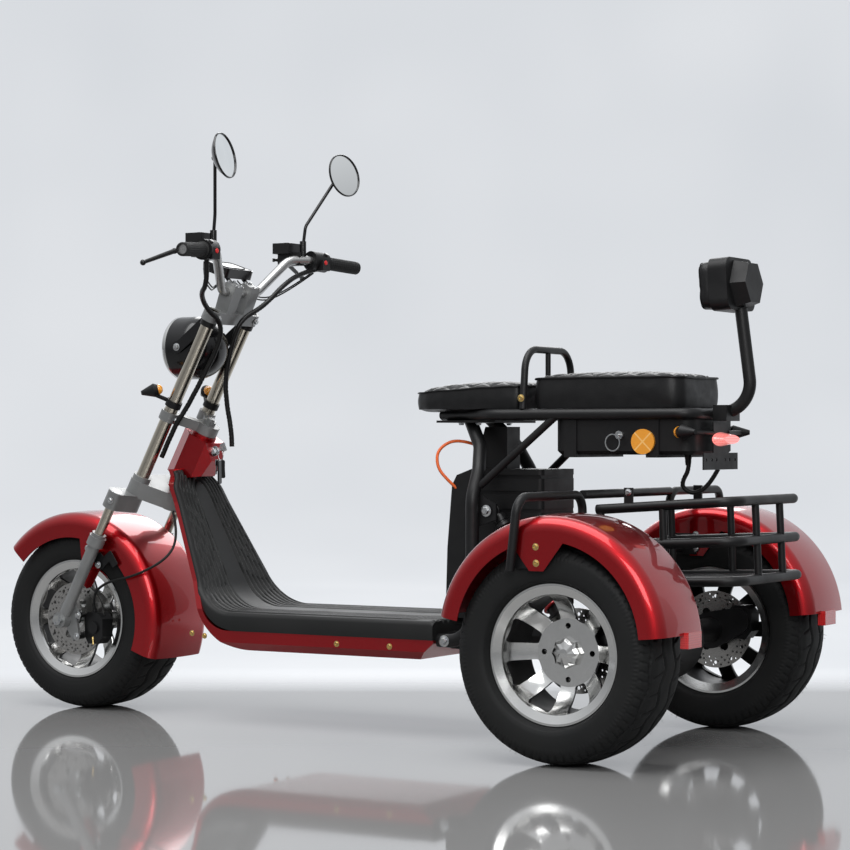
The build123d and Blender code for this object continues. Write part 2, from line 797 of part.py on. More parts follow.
def width_cut(trim):
    """The front view's outline, narrow at the neck and widest at the floor"""
    half_widths = [(72, shield_top + 10), (77, 573), (98, 554), (104, 512)]
    half_widths += [(150, 329), (176, 266), (body_half, 240)]
    half_widths += [(body_half, belly_z + 18), (body_half - 22, belly_z - 2)]
    with BuildPart() as cut:
        with BuildSketch(Plane(origin=chassis(floor_rear - 60, 0, 0), x_dir=Vector(0, 1, 0), z_dir=Vector(1, 0, 0))):
            with BuildLine():
                right = [(half - trim, z) for half, z in half_widths]
                Polyline(*right, *[(-y, z) for y, z in reversed(right)], close=True)
            make_face()
        extrude(amount=wheelbase)
    return cut.part


with BuildPart() as floor_mat:
    with BuildSketch(side_plane(0)):
        with BuildLine():
            FilletPolyline((floor_rear, floor_z), (shield_foot, floor_z), (shield_x(0, shield_top), shield_top), radius=110)
            Line((shield_x(0, shield_top), shield_top), (shield_x(mat_t, shield_top), shield_top))
            FilletPolyline(
                (shield_x(mat_t, shield_top), shield_top),
                (shield_x(mat_t, floor_z - mat_side), floor_z - mat_side),
                (floor_rear, floor_z - mat_side),
                radius=80,
            )
            Line((floor_rear, floor_z - mat_side), (floor_rear, floor_z))
        make_face()
    extrude(amount=body_half + 10, both=True)
    add(width_cut(0), mode=Mode.INTERSECT)
    add(neck.part, mode=Mode.SUBTRACT)
    add(neck_core, mode=Mode.SUBTRACT)
    rim_edges = floor_mat.edges().filter_by(Axis.X).group_by(Axis.Z)[-1]
    chamfer(rim_edges, length=10)
finish_piece(floor_mat, "floor_mat")

with BuildPart() as leg_shield:
    with BuildSketch(side_plane(0)):
        with BuildLine():
            top = floor_z - mat_side
            FilletPolyline(
                (floor_rear, top), (shield_x(mat_t, top), top), (shield_x(mat_t, shield_top), shield_top), radius=80
            )
            Line((shield_x(mat_t, shield_top), shield_top), (shield_x(shell_band, shield_top), shield_top))
            FilletPolyline(
                (shield_x(shell_band, shield_top), shield_top),
                (shield_x(shell_band, belly_z), belly_z),
                (belly_rear, belly_z),
                radius=150,
            )
            Polyline((belly_rear, belly_z), (floor_rear, belly_z + 38), (floor_rear, top))
        make_face()
    extrude(amount=body_half, both=True)
    add(width_cut(4), mode=Mode.INTERSECT)
    add(neck.part, mode=Mode.SUBTRACT)
    add(neck_core, mode=Mode.SUBTRACT)
finish_piece(leg_shield, "leg_shield")

# Frame: splayed seat posts that run down and forward into the floor, and the arm pivot
post_r = 15.0
post_x = 362.0
post_half = 149.0
pivot_x = 425.0
pivot_z = 217.0
pivot_r = 10.0
seat_plate_z = 704.0
seat_plate_t = 5.0
shock_y = 104.0
shock_top = (330.0, 505.0)
shock_foot = (150.0, 228.0)
case_half = 80.0
post_path = [
    (432, 42, 716),
    (378, 85, 647),
    (post_x, 120, 592),
    (post_x, post_half, 535),
    (post_x, post_half, pivot_z),
    (floor_rear, post_half, pivot_z),
]
with BuildPart() as main_frame:
    for y_side in (-1, 1):
        points = [chassis(x, y * y_side, z) for x, y, z in post_path]
        add(tube(points, post_r, [60, 60, 80, 60]))
        with BuildSketch(side_plane(y_side * (shock_y + 33))):
            with BuildLine():
                Polyline(
                    (post_x - 8, 545), (shock_top[0] - 22, 520), (shock_top[0] - 22, 486), (post_x - 8, 470),
                    close=True,
                )
            make_face()
        extrude(amount=3, both=True)
        add(rod(chassis(shock_top[0], y_side * (shock_y - 12), shock_top[1]),
                chassis(shock_top[0], y_side * (shock_y + 40), shock_top[1]), 7))
    with Locations(chassis(post_x + 60, 0, seat_plate_z + 40)):
        Box(200, 200, 80, mode=Mode.SUBTRACT)
    with Locations(chassis(post_x + 48, 0, seat_plate_z - seat_plate_t / 2)):
        Box(150, 190, seat_plate_t)
    add(rod(chassis(post_x, -post_half, 283), chassis(post_x, post_half, 283), 10))
    add(rod(chassis(pivot_x, -post_half, pivot_z), chassis(pivot_x, post_half, pivot_z), pivot_r))
finish_piece(main_frame, "main_frame")

# Rails under the seats
seat_rail_r = 12.0
seat_rail_z = seat_plate_z + seat_rail_r
seat_rail_y = 118.0
rail_end_x = -150.0
brace_r = 8.5
seat_z = seat_rail_z + seat_rail_r
with BuildPart() as seat_rails:
    half = [(500, 38), (325, seat_rail_y), (rail_end_x, seat_rail_y)]
    outline = [chassis(x, y, seat_rail_z) for x, y in half]
    outline += [chassis(x, -y, seat_rail_z) for x, y in reversed(half)]
    add(tube(outline, seat_rail_r, [60, 34, 34, 60]))
    add(rod(chassis(205, -seat_rail_y, seat_rail_z), chassis(205, seat_rail_y, seat_rail_z), 9))
    for y_side in (-1, 1):
        brace_foot = chassis(post_x - post_r + 3, y_side * 134, 560)
        add(rod(brace_foot, chassis(174, y_side * seat_rail_y, seat_rail_z - 6), brace_r))
    add(main_frame.part, mode=Mode.SUBTRACT)
finish_piece(seat_rails, "seat_rails")

with BuildPart() as backrest_post:
    mast = [(rail_end_x - seat_rail_r, seat_rail_z + 2), (-240, seat_rail_z + 14), (-212, 940)]
    add(tube([chassis(x, 0, z) for x, z in mast], 13.5, 62))
    with Locations(chassis(rail_end_x - seat_rail_r - 16, 0, seat_rail_z + 2)):
        Box(32, 70, 34)
    add(seat_rails.part, mode=Mode.SUBTRACT)
finish_piece(backrest_post, "backrest_post")

shell_z = 990.0
shell_x = -195.0
with BuildPart() as backrest_shell:
    with BuildSketch(Plane(origin=chassis(shell_x + 26, 0, shell_z), x_dir=Vector(0, 1, 0), z_dir=Vector(-1, 0, 0.06))):
        RectangleRounded(146, 112, 24)
    extrude(amount=42)
    with BuildSketch(Plane(origin=chassis(shell_x - 14, 0, shell_z + 2.5), x_dir=Vector(0, 1, 0), z_dir=Vector(-1, 0, 0.06))):
        RegularPolygon(58, 6)
    extrude(amount=34, taper=14)
    add(backrest_post.part, mode=Mode.SUBTRACT)
finish_piece(backrest_shell, "backrest_shell")

with BuildPart() as backrest_pad:
    with BuildSketch(Plane(origin=chassis(shell_x + 26, 0, shell_z), x_dir=Vector(0, 1, 0), z_dir=Vector(1, 0, -0.06))):
        RectangleRounded(140, 106, 24)
    extrude(amount=26)
    chamfer(backrest_pad.faces().sort_by(Axis.X)[-1].edges(), length=8)
finish_piece(backrest_pad, "backrest_pad")

# Seats
pad_front = 243.0
pad_rear = -126.0
pad_half = seat_rail_y
saddle_front = 580.0
saddle_rear = 262.0
with BuildPart() as front_saddle:
    with BuildSketch(Plane.XY.offset(seat_z)):
        with BuildLine():
            right = [(saddle_rear, 112), (400, 118), (520, 92), (566, 58), (saddle_front, 20)]
            Polyline(
                *[(rear_x + x, y) for x, y in right], *[(rear_x + x, -y) for x, y in reversed(right)], close=True
            )
        make_face()
    extrude(amount=50)
    chamfer(front_saddle.faces().sort_by(Axis.Z)[-1].edges(), length=14)
finish_piece(front_saddle, "front_saddle")

with BuildPart() as rear_seat_pad:
    with BuildSketch(Plane.XY.offset(seat_z)):
        with Locations((rear_x + (pad_front + pad_rear) / 2, 0)):
            RectangleRounded(pad_front - pad_rear, 2 * pad_half, 34)
    extrude(amount=70)
    chamfer(rear_seat_pad.faces().sort_by(Axis.Z)[-1].edges(), length=12)
finish_piece(rear_seat_pad, "rear_seat_pad")

hoop_x = (pad_front + saddle_rear) / 2
grab_r = 8.0
with BuildPart() as grab_hoop:
    hoop = [(-118, seat_z), (-104, 868 - grab_r), (104, 868 - grab_r), (118, seat_z)]
    add(tube([chassis(hoop_x, y, z) for y, z in hoop], grab_r, 52))
    add(rod(chassis(hoop_x, 0, 780), chassis(hoop_x, 0, 868 - grab_r), 6))
    add(front_saddle.part, mode=Mode.SUBTRACT)
    add(rear_seat_pad.part, mode=Mode.SUBTRACT)
    add(seat_rails.part, mode=Mode.SUBTRACT)
finish_piece(grab_hoop, "grab_hoop")

# Battery behind the front cover, between the seat posts
cover_x = 400.0
with BuildPart() as battery_cover:
    with BuildSketch(side_plane(0)):
        with BuildLine():
            Polyline(
                (cover_x, floor_z), (467, floor_z), (462, 420), (450, 560), (438, 582), (cover_x, 596),
                close=True,
            )
        make_face()
    extrude(amount=case_half + 6, both=True)
    with BuildSketch(side_plane(0)):
        with BuildLine():
            Polyline((cover_x, 560), (426, 560), (424, 600), (396, 690), (340, 690), (340, 596), (cover_x, 596), close=True)
        make_face()
    extrude(amount=30, both=True)
    add(main_frame.part, mode=Mode.SUBTRACT)
finish_piece(battery_cover, "battery_cover")

case_z = 293.0
case_rear = 225.0
with BuildPart() as battery_case:
    with BuildSketch(Plane.XY.offset(case_z)):
        with Locations((rear_x + (cover_x + case_rear) / 2, 0)):
            RectangleRounded(cover_x - case_rear, 2 * case_half, 12)
    extrude(amount=596 - case_z)
    for z in (500, 540, 575):
        with BuildSketch(Plane.XY.offset(z)):
            with Locations((rear_x + (cover_x + case_rear) / 2 - 6, 0)):
                Rectangle(cover_x - case_rear, 2 * case_half + 2)
                with Locations((6, 0)):
                    Rectangle(cover_x - case_rear - 8, 2 * case_half - 8, mode=Mode.SUBTRACT)
        extrude(amount=8, mode=Mode.SUBTRACT)
    add(main_frame.part, mode=Mode.SUBTRACT)
finish_piece(battery_case, "battery_case")

# Box under the rear seat, hung from the rails by two straps
box_front = 180.0
box_rear = -148.0
box_half = 112.0
box_low = 629.0
with BuildPart() as under_seat_box:
    with BuildSketch(Plane.XY.offset(box_low)):
        with Locations((rear_x + (box_front + box_rear) / 2, 0)):
            RectangleRounded(box_front - box_rear, 2 * box_half, 26)
    extrude(amount=seat_rail_z - seat_rail_r - box_low)
    chamfer(under_seat_box.faces().sort_by(Axis.Z)[0].edges(), length=8)
    for x in (138, -58):
        with Locations(chassis(x, 0, (box_low + seat_rail_z) / 2 - 2)):
            Box(30, 2 * box_half + 6, seat_rail_z - box_low + 8)
    add(seat_rails.part, mode=Mode.SUBTRACT)
finish_piece(under_seat_box, "under_seat_box")

# Rear fenders, carried by a hoop over each and a bar between them
rear_fender_half = 105.0
fender_z = 250.0
plate_low = 397.0
hoop_z = 545.0
hoop_front = 57.0
foot_y = rear_track / 2 + rear_fender_half + hoop_r
inner_y = 215.0
bracket_t = 2.7
rear_fenders = []
for place, centre in rear_centres.items():
    over = chassis(0, centre.Y, fender_z)
    with BuildPart() as rear_fender:
        add(arch(over, 11.0, 164.0, 262.0, 208.0, rear_fender_half))
        for skirt in (-1, 1):
            with BuildSketch(side_at(over, skirt * (rear_fender_half - panel_t / 2))):
                with BuildLine():
                    Polyline((80, 204), (-46, 212), (4, plate_low - fender_z), (36, plate_low - fender_z), close=True)
                make_face()
            extrude(amount=panel_t / 2, both=True)
    finish_piece(rear_fender, f"rear_{place}_fender")
    rear_fenders.append(rear_fender)

with BuildPart() as fender_hoops:
    for y_side in (-1, 1):
        hoop = [(18, foot_y, plate_low), (0, foot_y, hoop_z), (0, inner_y, hoop_z), (0, inner_y, 380)]
        add(tube([chassis(hoop_front + x, y * y_side, z) for x, y, z in hoop], hoop_r, [34, 34]))
        outer_wall = rear_track / 2 + rear_fender_half - 2
        with Locations(chassis(47, y_side * outer_wall, 424)):
            Box(56, 7.2, 48)
        inner_wall = rear_track / 2 - rear_fender_half - bracket_t / 2
        with Locations(chassis(47, y_side * inner_wall, 424)):
            Box(56, bracket_t, 48)
        tie_y = rear_track / 2 - rear_fender_half - bracket_t
        with Locations(chassis(hoop_front, y_side * (inner_y + tie_y) / 2, 424)):
            Box(10, tie_y - inner_y, 24)
    add(rod(chassis(hoop_front, -inner_y, hoop_z), chassis(hoop_front, inner_y, hoop_z), hoop_r))
    for rear_fender in rear_fenders:
        add(rear_fender.part, mode=Mode.SUBTRACT)
finish_piece(fender_hoops, "fender_hoops")

# Basket: three rails round the sides and back, joined by uprights
rail_levels = [(513.0, 534.0, 0.0), (436.0, 451.0, 4.0), (358.0, 369.0, 8.0)]


def rail_at(level, x):
    """The height of one of the basket's rails above a point on its side"""
    front_z, back_z, _ = level
    share = (basket_front - x) / (basket_front + basket_back)
    return front_z + (back_z - front_z) * share


with BuildPart() as rear_basket:
    for front_z, back_z, lean_back in rail_levels:
        back_x = -basket_back + 8 - lean_back
        side_rail = [(basket_front, basket_half, front_z), (back_x, basket_half, back_z)]
        side_rail += [(back_x, -basket_half, back_z), (basket_front, -basket_half, front_z)]
        add(tube([chassis(*point) for point in side_rail], rail_r, 40))
        add(rod(chassis(basket_front - 8, -basket_half, front_z), chassis(basket_front - 8, basket_half, front_z), 7))
    low, high = rail_levels[2], rail_levels[0]
    for x in (basket_front - 8, -110.0):
        for y in (-basket_half, basket_half):
            add(rod(chassis(x - 6, y, rail_at(low, x)), chassis(x, y, rail_at(high, x)), 8))
    for y in (-65.0, 65.0):
        top_x, low_x = -basket_back + 8, -basket_back
        add(rod(chassis(low_x, y, low[1]), chassis(top_x, y, high[1]), 8))
    for y in (-110.0, -55.0, 0.0, 55.0, 110.0):
        add(rod(chassis(basket_front - 8, y, low[0]), chassis(-basket_back, y, low[1]), 4.5))
    for y_side in (-1, 1):
        runner = [(post_x - post_r + 1, post_half, 340), (240, post_half, 345), (basket_front - 10, basket_half, low[0])]
        add(tube([chassis(x, y * y_side, z) for x, y, z in runner], rail_r, 60))
        add(rod(chassis(hoop_front, y_side * inner_y, 392), chassis(basket_front - 6, y_side * basket_half, low[0] + 4), 7))
        with Locations(chassis(-32, y_side * basket_half, rail_at(high, -32) + 24)):
            Box(20, 5, 36)
    add(main_frame.part, mode=Mode.SUBTRACT)
    add(fender_hoops.part, mode=Mode.SUBTRACT)
finish_piece(rear_basket, "rear_basket")

# Rear axle with its motor, swinging arms and shocks
motor_r = 92.0
motor_half = 84.0
beam_r = 28.0
beam_half = rear_track / 2 - rear_disc_in - disc_t / 2 - 6
arm_y = shock_y + 8
arm_t = 14.0
with BuildPart() as rear_axle:
    hub_line = chassis(0, 0, rear_tyre_r)
    for reach, radius in ((motor_half, motor_r), (beam_half, beam_r), (rear_track / 2 + stub_reach, stub_r)):
        with BuildSketch(side_at(hub_line, 0)):
            Circle(radius)
        extrude(amount=reach, both=True)
    chamfer(rear_axle.edges().filter_by(GeomType.CIRCLE).sort_by(SortBy.RADIUS)[-1], length=10)
finish_piece(rear_axle, "rear_axle")

with BuildPart() as swing_arm:
    for y_side in (-1, 1):
        with BuildSketch(side_plane(y_side * (arm_y + arm_t / 2))):
            with BuildLine():
                CenterArc((pivot_x, pivot_z), 19, 0, 360)
                CenterArc((0, rear_tyre_r), beam_r + 9, 0, 360)
            make_hull()
            with Locations((215, 221)):
                SlotOverall(180, 26, mode=Mode.SUBTRACT)
            with Locations((0, rear_tyre_r)):
                Circle(beam_r, mode=Mode.SUBTRACT)
            with Locations((pivot_x, pivot_z)):
                Circle(pivot_r, mode=Mode.SUBTRACT)
        extrude(amount=arm_t / 2, both=True)
        pin_x, pin_z = shock_foot[0], shock_foot[1] + 16
        add(rod(chassis(pin_x, y_side * (shock_y - 12), pin_z), chassis(pin_x, y_side * (arm_y + 2), pin_z), 7))
finish_piece(swing_arm, "swing_arm")

foot = chassis(shock_foot[0], 0, shock_foot[1] + 16)
head = chassis(shock_top[0], 0, shock_top[1])
shock_run = head - foot
shock_up = shock_run.normalized()
with BuildPart() as rear_shocks:
    for y in (-shock_y, shock_y):
        beside = Vector(0, y, 0)
        for eye in (foot, head):
            with BuildSketch(side_at(eye, y)):
                Circle(14)
                Circle(7, mode=Mode.SUBTRACT)
            extrude(amount=7.5, both=True)
        add(rod(foot + beside + shock_up * 12, head + beside - shock_up * 12, 6))
        add(rod(foot + beside + shock_up * 26, foot + beside + shock_up * 120, 14))
        for start, radius in ((40, 22), (shock_run.length - 44, 22)):
            add(rod(foot + beside + shock_up * start, foot + beside + shock_up * (start + 8), radius))
        add(rod(head + beside - shock_up * 36, head + beside - shock_up * 13, 16))

coil_count = 9
coil_from = 48.0
coil_to = shock_run.length - 44.0
with BuildPart() as coils:
    pitch = (coil_to - coil_from) / coil_count
    for y in (-shock_y, shock_y):
        across = Vector(shock_up.Z, 0, -shock_up.X)
        with BuildSketch(Plane(origin=foot + Vector(0, y, 0), x_dir=across, z_dir=Vector(0, -1, 0))):
            with BuildLine():
                ridge = [(5.0, coil_from)]
                for turn in range(coil_count):
                    base = coil_from + turn * pitch
                    ridge += [(17.5, base), (21.5, base + pitch / 2)]
                ridge += [(17.5, coil_to), (5.0, coil_to)]
                Polyline(*ridge, close=True)
            make_face()
        revolve(axis=Axis(foot + Vector(0, y, 0), shock_up))
    add(rear_shocks.part)
finish_piece(coils, "rear_shocks")

with BuildPart() as rear_brake_calipers:
    for y_side in (-1, 1):
        disc_y = y_side * (rear_track / 2 - rear_disc_in)
        hub_line = chassis(0, 0, rear_tyre_r)
        add(caliper(hub_line, -62, 20, disc_y, 22).part)
        with BuildSketch(side_at(hub_line, y_side * (rear_track / 2 - rear_disc_in - 24))):
            with BuildLine():
                CenterArc((0, 0), beam_r + 14, 0, 360)
                CenterArc((-64, 22), 30, 0, 360)
            make_hull()
        extrude(amount=6, both=True)
        with BuildSketch(side_at(hub_line, 0)):
            Circle(beam_r)
        extrude(amount=beam_half, both=True, mode=Mode.SUBTRACT)
finish_piece(rear_brake_calipers, "rear_brake_calipers")

# Lamps, reflectors and the plate carrier at the tail
plate_x = -164.0
with BuildPart() as plate_bracket:
    with Locations(chassis(plate_x, 0, 615)):
        Box(3, 178, 36)
    with Locations(chassis(plate_x, 0, 665)):
        Box(3, 76, 66)
    with BuildSketch(Plane(origin=chassis(plate_x, 0, 618), x_dir=Vector(0, 1, 0), z_dir=Vector(1, 0, 0))):
        with Locations((-75, 0), (-46, 0), (-22, 0), (22, 0), (46, 0), (75, 0)):
            Circle(3.5)
    extrude(amount=4, both=True, mode=Mode.SUBTRACT)
    add(backrest_post.part, mode=Mode.SUBTRACT)
finish_piece(plate_bracket, "plate_bracket")

with BuildPart() as tail_light:
    with BuildSketch(Plane(origin=chassis(plate_x - 1.5, 0, 662), x_dir=Vector(0, 1, 0), z_dir=Vector(-1, 0, 0))):
        Ellipse(46, 15)
    extrude(amount=26, taper=12)
finish_piece(tail_light, "tail_light")

with BuildPart() as rear_turn_signals:
    for y_side in (-1, 1):
        root = chassis(plate_x, y_side * 38, 676)
        tip = chassis(plate_x + 10, y_side * 136, 677)
        add(rod(root, tip, 5))
        with Locations(Plane(origin=tip, z_dir=Vector(-1, y_side * 0.35, 0))):
            Cone(16, 5, 36)
            with Locations((0, 0, -24)):
                Cone(11, 16, 12)
    add(plate_bracket.part, mode=Mode.SUBTRACT)
finish_piece(rear_turn_signals, "rear_turn_signals")

with BuildPart() as reflectors:
    for y_side in (-1, 1):
        with BuildSketch(side_plane(y_side * (box_half), -38, 657)):
            Circle(27)
        extrude(amount=-y_side * 9)
        with Locations(chassis(-262, y_side * (rear_track / 2 - 22), 262)):
            Box(18, 62, 32)
    add(under_seat_box.part, mode=Mode.SUBTRACT)
    for fender in rear_fenders:
        add(fender.part, mode=Mode.SUBTRACT)
finish_piece(reflectors, "reflectors")

# Locks with their keys
with BuildPart() as ignition_lock:
    lock_at = fork(-46, 10, 528)
    out = (axis_up - axis_front * 0.9).normalized()
    add(rod(lock_at, lock_at + out * 14, 12))
    key_at = lock_at + out * 14
    add(rod(key_at, key_at + out * 16, 3))
    ring_at = key_at + out * 13 + Vector(0, 0, -16)
    with BuildSketch(Plane(origin=ring_at, z_dir=Vector(0.5, 1, 0))):
        Circle(13)
        Circle(10, mode=Mode.SUBTRACT)
    extrude(amount=1.2, both=True)
    for y, drop, width in ((-5, 44, 12), (8, 58, 16)):
        with Locations(ring_at + Vector(-2, y, -11 - drop / 2)):
            Box(4, width, drop)
    add(neck.part, mode=Mode.SUBTRACT)
finish_piece(ignition_lock, "ignition_lock")

with BuildPart() as box_lock:
    lock_at = chassis(20, box_half, 671)
    add(rod(lock_at, lock_at + Vector(0, 5, 0), 9))
    add(rod(lock_at + Vector(0, 5, 0), lock_at + Vector(0, 17, 0), 2.5))
    with BuildSketch(Plane(origin=lock_at + Vector(10, 14, -16), z_dir=Vector(0.1, 1, 0))):
        Circle(19)
        Circle(16.4, mode=Mode.SUBTRACT)
    extrude(amount=1.2, both=True)
    add(under_seat_box.part, mode=Mode.SUBTRACT)
finish_piece(box_lock, "box_lock")

# Cables of the frame
lead_r = 3.5
with BuildPart() as battery_cable:
    loop = [(402, 26, 642), (446, 58, 666), (484, 92, 642), (480, 102, 600), (456, 94, 570), (436, 80, 548)]
    add(tube([chassis(x, y, z) for x, y, z in loop], lead_r, 16))
    add(battery_cover.part, mode=Mode.SUBTRACT)
    add(main_frame.part, mode=Mode.SUBTRACT)
finish_piece(battery_cable, "battery_cable")

with BuildPart() as tail_harness:
    drop = [(-98, 20, box_low + 1), (-102, 20, 600), (-84, 20, 572), (-84, 16, 556)]
    drop += [(-106, 10, 544), (-138, 4, 560), (plate_x + 5, 0, 598)]
    add(tube([chassis(x, y, z) for x, y, z in drop], 5, 12))
    add(under_seat_box.part, mode=Mode.SUBTRACT)
    add(plate_bracket.part, mode=Mode.SUBTRACT)
finish_piece(tail_harness, "tail_harness")
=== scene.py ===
# Looks of a three-wheeled electric scooter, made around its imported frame
import json
import math

import bmesh
import bpy
import numpy as np
from mathutils.kdtree import KDTree
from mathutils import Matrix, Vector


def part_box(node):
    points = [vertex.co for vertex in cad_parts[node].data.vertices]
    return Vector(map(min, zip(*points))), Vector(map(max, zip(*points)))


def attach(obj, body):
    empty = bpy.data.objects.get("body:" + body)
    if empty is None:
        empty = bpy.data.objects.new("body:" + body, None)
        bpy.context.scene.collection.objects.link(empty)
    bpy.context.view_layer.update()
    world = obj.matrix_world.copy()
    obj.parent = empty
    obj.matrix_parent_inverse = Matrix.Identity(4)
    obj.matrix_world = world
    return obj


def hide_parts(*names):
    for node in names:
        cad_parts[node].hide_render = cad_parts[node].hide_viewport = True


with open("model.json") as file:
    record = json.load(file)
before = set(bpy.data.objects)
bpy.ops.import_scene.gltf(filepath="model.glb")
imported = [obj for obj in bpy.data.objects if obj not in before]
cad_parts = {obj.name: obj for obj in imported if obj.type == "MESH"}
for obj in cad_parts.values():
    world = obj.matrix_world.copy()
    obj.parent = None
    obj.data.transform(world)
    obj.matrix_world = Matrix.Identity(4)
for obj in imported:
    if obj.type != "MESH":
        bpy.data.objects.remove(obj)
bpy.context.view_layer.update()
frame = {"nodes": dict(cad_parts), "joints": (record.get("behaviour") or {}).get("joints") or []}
print("frame loaded:", len(frame["nodes"]), "nodes")


# Places, all in metres, read from the frame
def middleOf(node):
    low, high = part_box(node)
    return np.array((low + high) / 2)


frontHub = middleOf("front_tyre")
rearHubs = {"left": middleOf("rear_left_tyre"), "right": middleOf("rear_right_tyre")}
rearX = rearHubs["left"][0]
steering = next(joint for joint in frame["joints"] if joint["child"] == "steering")
axisUp = np.array(steering["axis"], float)
axisUp /= np.linalg.norm(axisUp)
axisFront = np.array([axisUp[2], 0.0, -axisUp[0]])
forkOffset = float(np.dot(frontHub - np.array(steering["pos_m"]), axisFront))
ahead, leftward, upward = np.eye(3)


def chassis(x, y, z):
    # a point forward of the rear axle, to the left, above the floor
    return np.array([rearX + x, y, z])


def fork(lead, y, height):
    # a point in front of the steering axis, to the left, up the axis from the front axle
    return frontHub + axisFront * (lead - forkOffset) + axisUp * height + leftward * y


def barPoint(x, y, z):
    # a point from the middle of the handlebar's clamp
    return fork(0.071, 0, 0.899) + np.array([x, y, z])


gripFrom, gripTo = barPoint(-0.066, 0.200, 0.088), barPoint(-0.101, 0.363, 0.077)


def onGrip(distance, side):
    # a point on a grip's centre line, mirrored to the right for side = -1
    return (gripFrom + unit(gripTo - gripFrom) * distance) * np.array([1, side, 1])


def unit(vectors):
    # vectors over their lengths
    vectors = np.asarray(vectors, float)
    return vectors / np.maximum(np.linalg.norm(vectors, axis=-1, keepdims=True), 1e-12)


# Camera, where the photograph was taken from
cameraPlace = {
    "spot": (-2.33576, 4.88817, 0.66218), "look": (0.51116, -0.85946, 0.00571), "lens": 105.09, "sensor": 36.0,
}
cameraData = bpy.data.cameras.new("camera")
cameraData.lens = cameraPlace["lens"]
cameraData.sensor_width = cameraPlace["sensor"]
cameraData.sensor_fit = "HORIZONTAL"
camera = bpy.data.objects.new("camera", cameraData)
bpy.context.scene.collection.objects.link(camera)
camera.location = chassis(*cameraPlace["spot"])
camera.rotation_euler = Vector(cameraPlace["look"]).to_track_quat("-Z", "Y").to_euler()
bpy.context.scene.camera = camera


# Shader maths
class Wire:
    # one node socket; sums and products on it add Math nodes to its tree
    def __init__(self, tree, socket):
        self.tree = tree
        self.socket = socket

    def maths(self, operation, first, second=0.0):
        node = self.tree.nodes.new("ShaderNodeMath")
        node.operation = operation
        for slot, value in zip(node.inputs, (first, second)):
            if isinstance(value, Wire):
                self.tree.links.new(value.socket, slot)
            else:
                slot.default_value = value
        return Wire(self.tree, node.outputs[0])

    def __add__(self, other):
        return self.maths("ADD", self, other)

    def __radd__(self, other):
        return self.maths("ADD", other, self)

    def __sub__(self, other):
        return self.maths("SUBTRACT", self, other)

    def __rsub__(self, other):
        return self.maths("SUBTRACT", other, self)

    def __mul__(self, other):
        return self.maths("MULTIPLY", self, other)

    def __rmul__(self, other):
        return self.maths("MULTIPLY", other, self)

    def __truediv__(self, other):
        return self.maths("DIVIDE", self, other)

    def __pow__(self, other):
        return self.maths("POWER", self, other)

    def __gt__(self, other):
        return self.maths("GREATER_THAN", self, other)

    def __lt__(self, other):
        return self.maths("LESS_THAN", self, other)

    def __abs__(self):
        return self.maths("ABSOLUTE", self)

    def atLeast(self, other):
        return self.maths("MAXIMUM", self, other)

    def atMost(self, other):
        return self.maths("MINIMUM", self, other)


class Finish:
    # a material and its shader; node() adds any node and gives one of its outputs
    def __init__(self, name, colour, roughness, metallic=0.0, **plain):
        self.material = bpy.data.materials.new(name)
        self.material.use_nodes = True
        self.tree = self.material.node_tree
        self.tree.nodes.clear()
        self.shader = self.tree.nodes.new("ShaderNodeBsdfPrincipled")
        output = self.tree.nodes.new("ShaderNodeOutputMaterial")
        self.tree.links.new(self.shader.outputs[0], output.inputs[0])
        for key, value in {"Base_Color": colour, "Roughness": roughness, "Metallic": metallic, **plain}.items():
            self.set(key.replace("_", " "), value)

    def feed(self, socket, value):
        if isinstance(value, Wire):
            self.tree.links.new(value.socket, socket)
        elif socket.type == "RGBA" and len(value) == 3:
            socket.default_value = (*value, 1.0)
        else:
            socket.default_value = value

    def set(self, socket, value):
        self.feed(self.shader.inputs[socket], value)

    def node(self, kind, settings=None, sockets=None, out=0):
        made = self.tree.nodes.new("ShaderNode" + kind)
        for key, value in (settings or {}).items():
            setattr(made, key, value)
        for key, value in (sockets or {}).items():
            self.feed(made.inputs[key], value)
        return Wire(self.tree, made.outputs[out])

    def place(self, scale=(1, 1, 1), centre=(0, 0, 0)):
        # Object coordinates, moved so that centre is the origin, then stretched
        coords = self.node("TexCoord", out=3)
        moved = self.node("VectorMath", {"operation": "SUBTRACT"}, {0: coords, 1: tuple(centre)})
        return self.node("Mapping", None, {"Vector": moved, "Scale": scale})

    def apart(self, centre):
        # x, y and z from a centre
        spot = self.place(centre=centre)
        return [self.node("SeparateXYZ", None, {0: spot}, out) for out in range(3)]

    def noise(self, scale, detail=3.0, roughness=0.5, at=None):
        sizes = {"Vector": at or self.place(), "Scale": scale, "Detail": detail, "Roughness": roughness}
        return self.node("TexNoise", None, sizes)

    def cells(self, scale, settings=None, out=0, **sockets):
        return self.node("TexVoronoi", settings, {"Vector": self.place(), "Scale": scale, **sockets}, out)

    def mix(self, factor, first, second):
        return self.node("Mix", {"data_type": "RGBA"}, {0: factor, 6: first, 7: second}, 2)

    def bump(self, height, strength, distance):
        sizes = {"Height": height, "Strength": strength, "Distance": distance}
        self.set("Normal", self.node("Bump", None, sizes))

    def spread(self, wire, low, high):
        # wire's values from 0.3 to 0.7 stretched to run from low to high, clamped
        limits = {"Value": wire, "From Min": 0.3, "From Max": 0.7, "To Min": low, "To Max": high}
        return self.node("MapRange", None, limits)


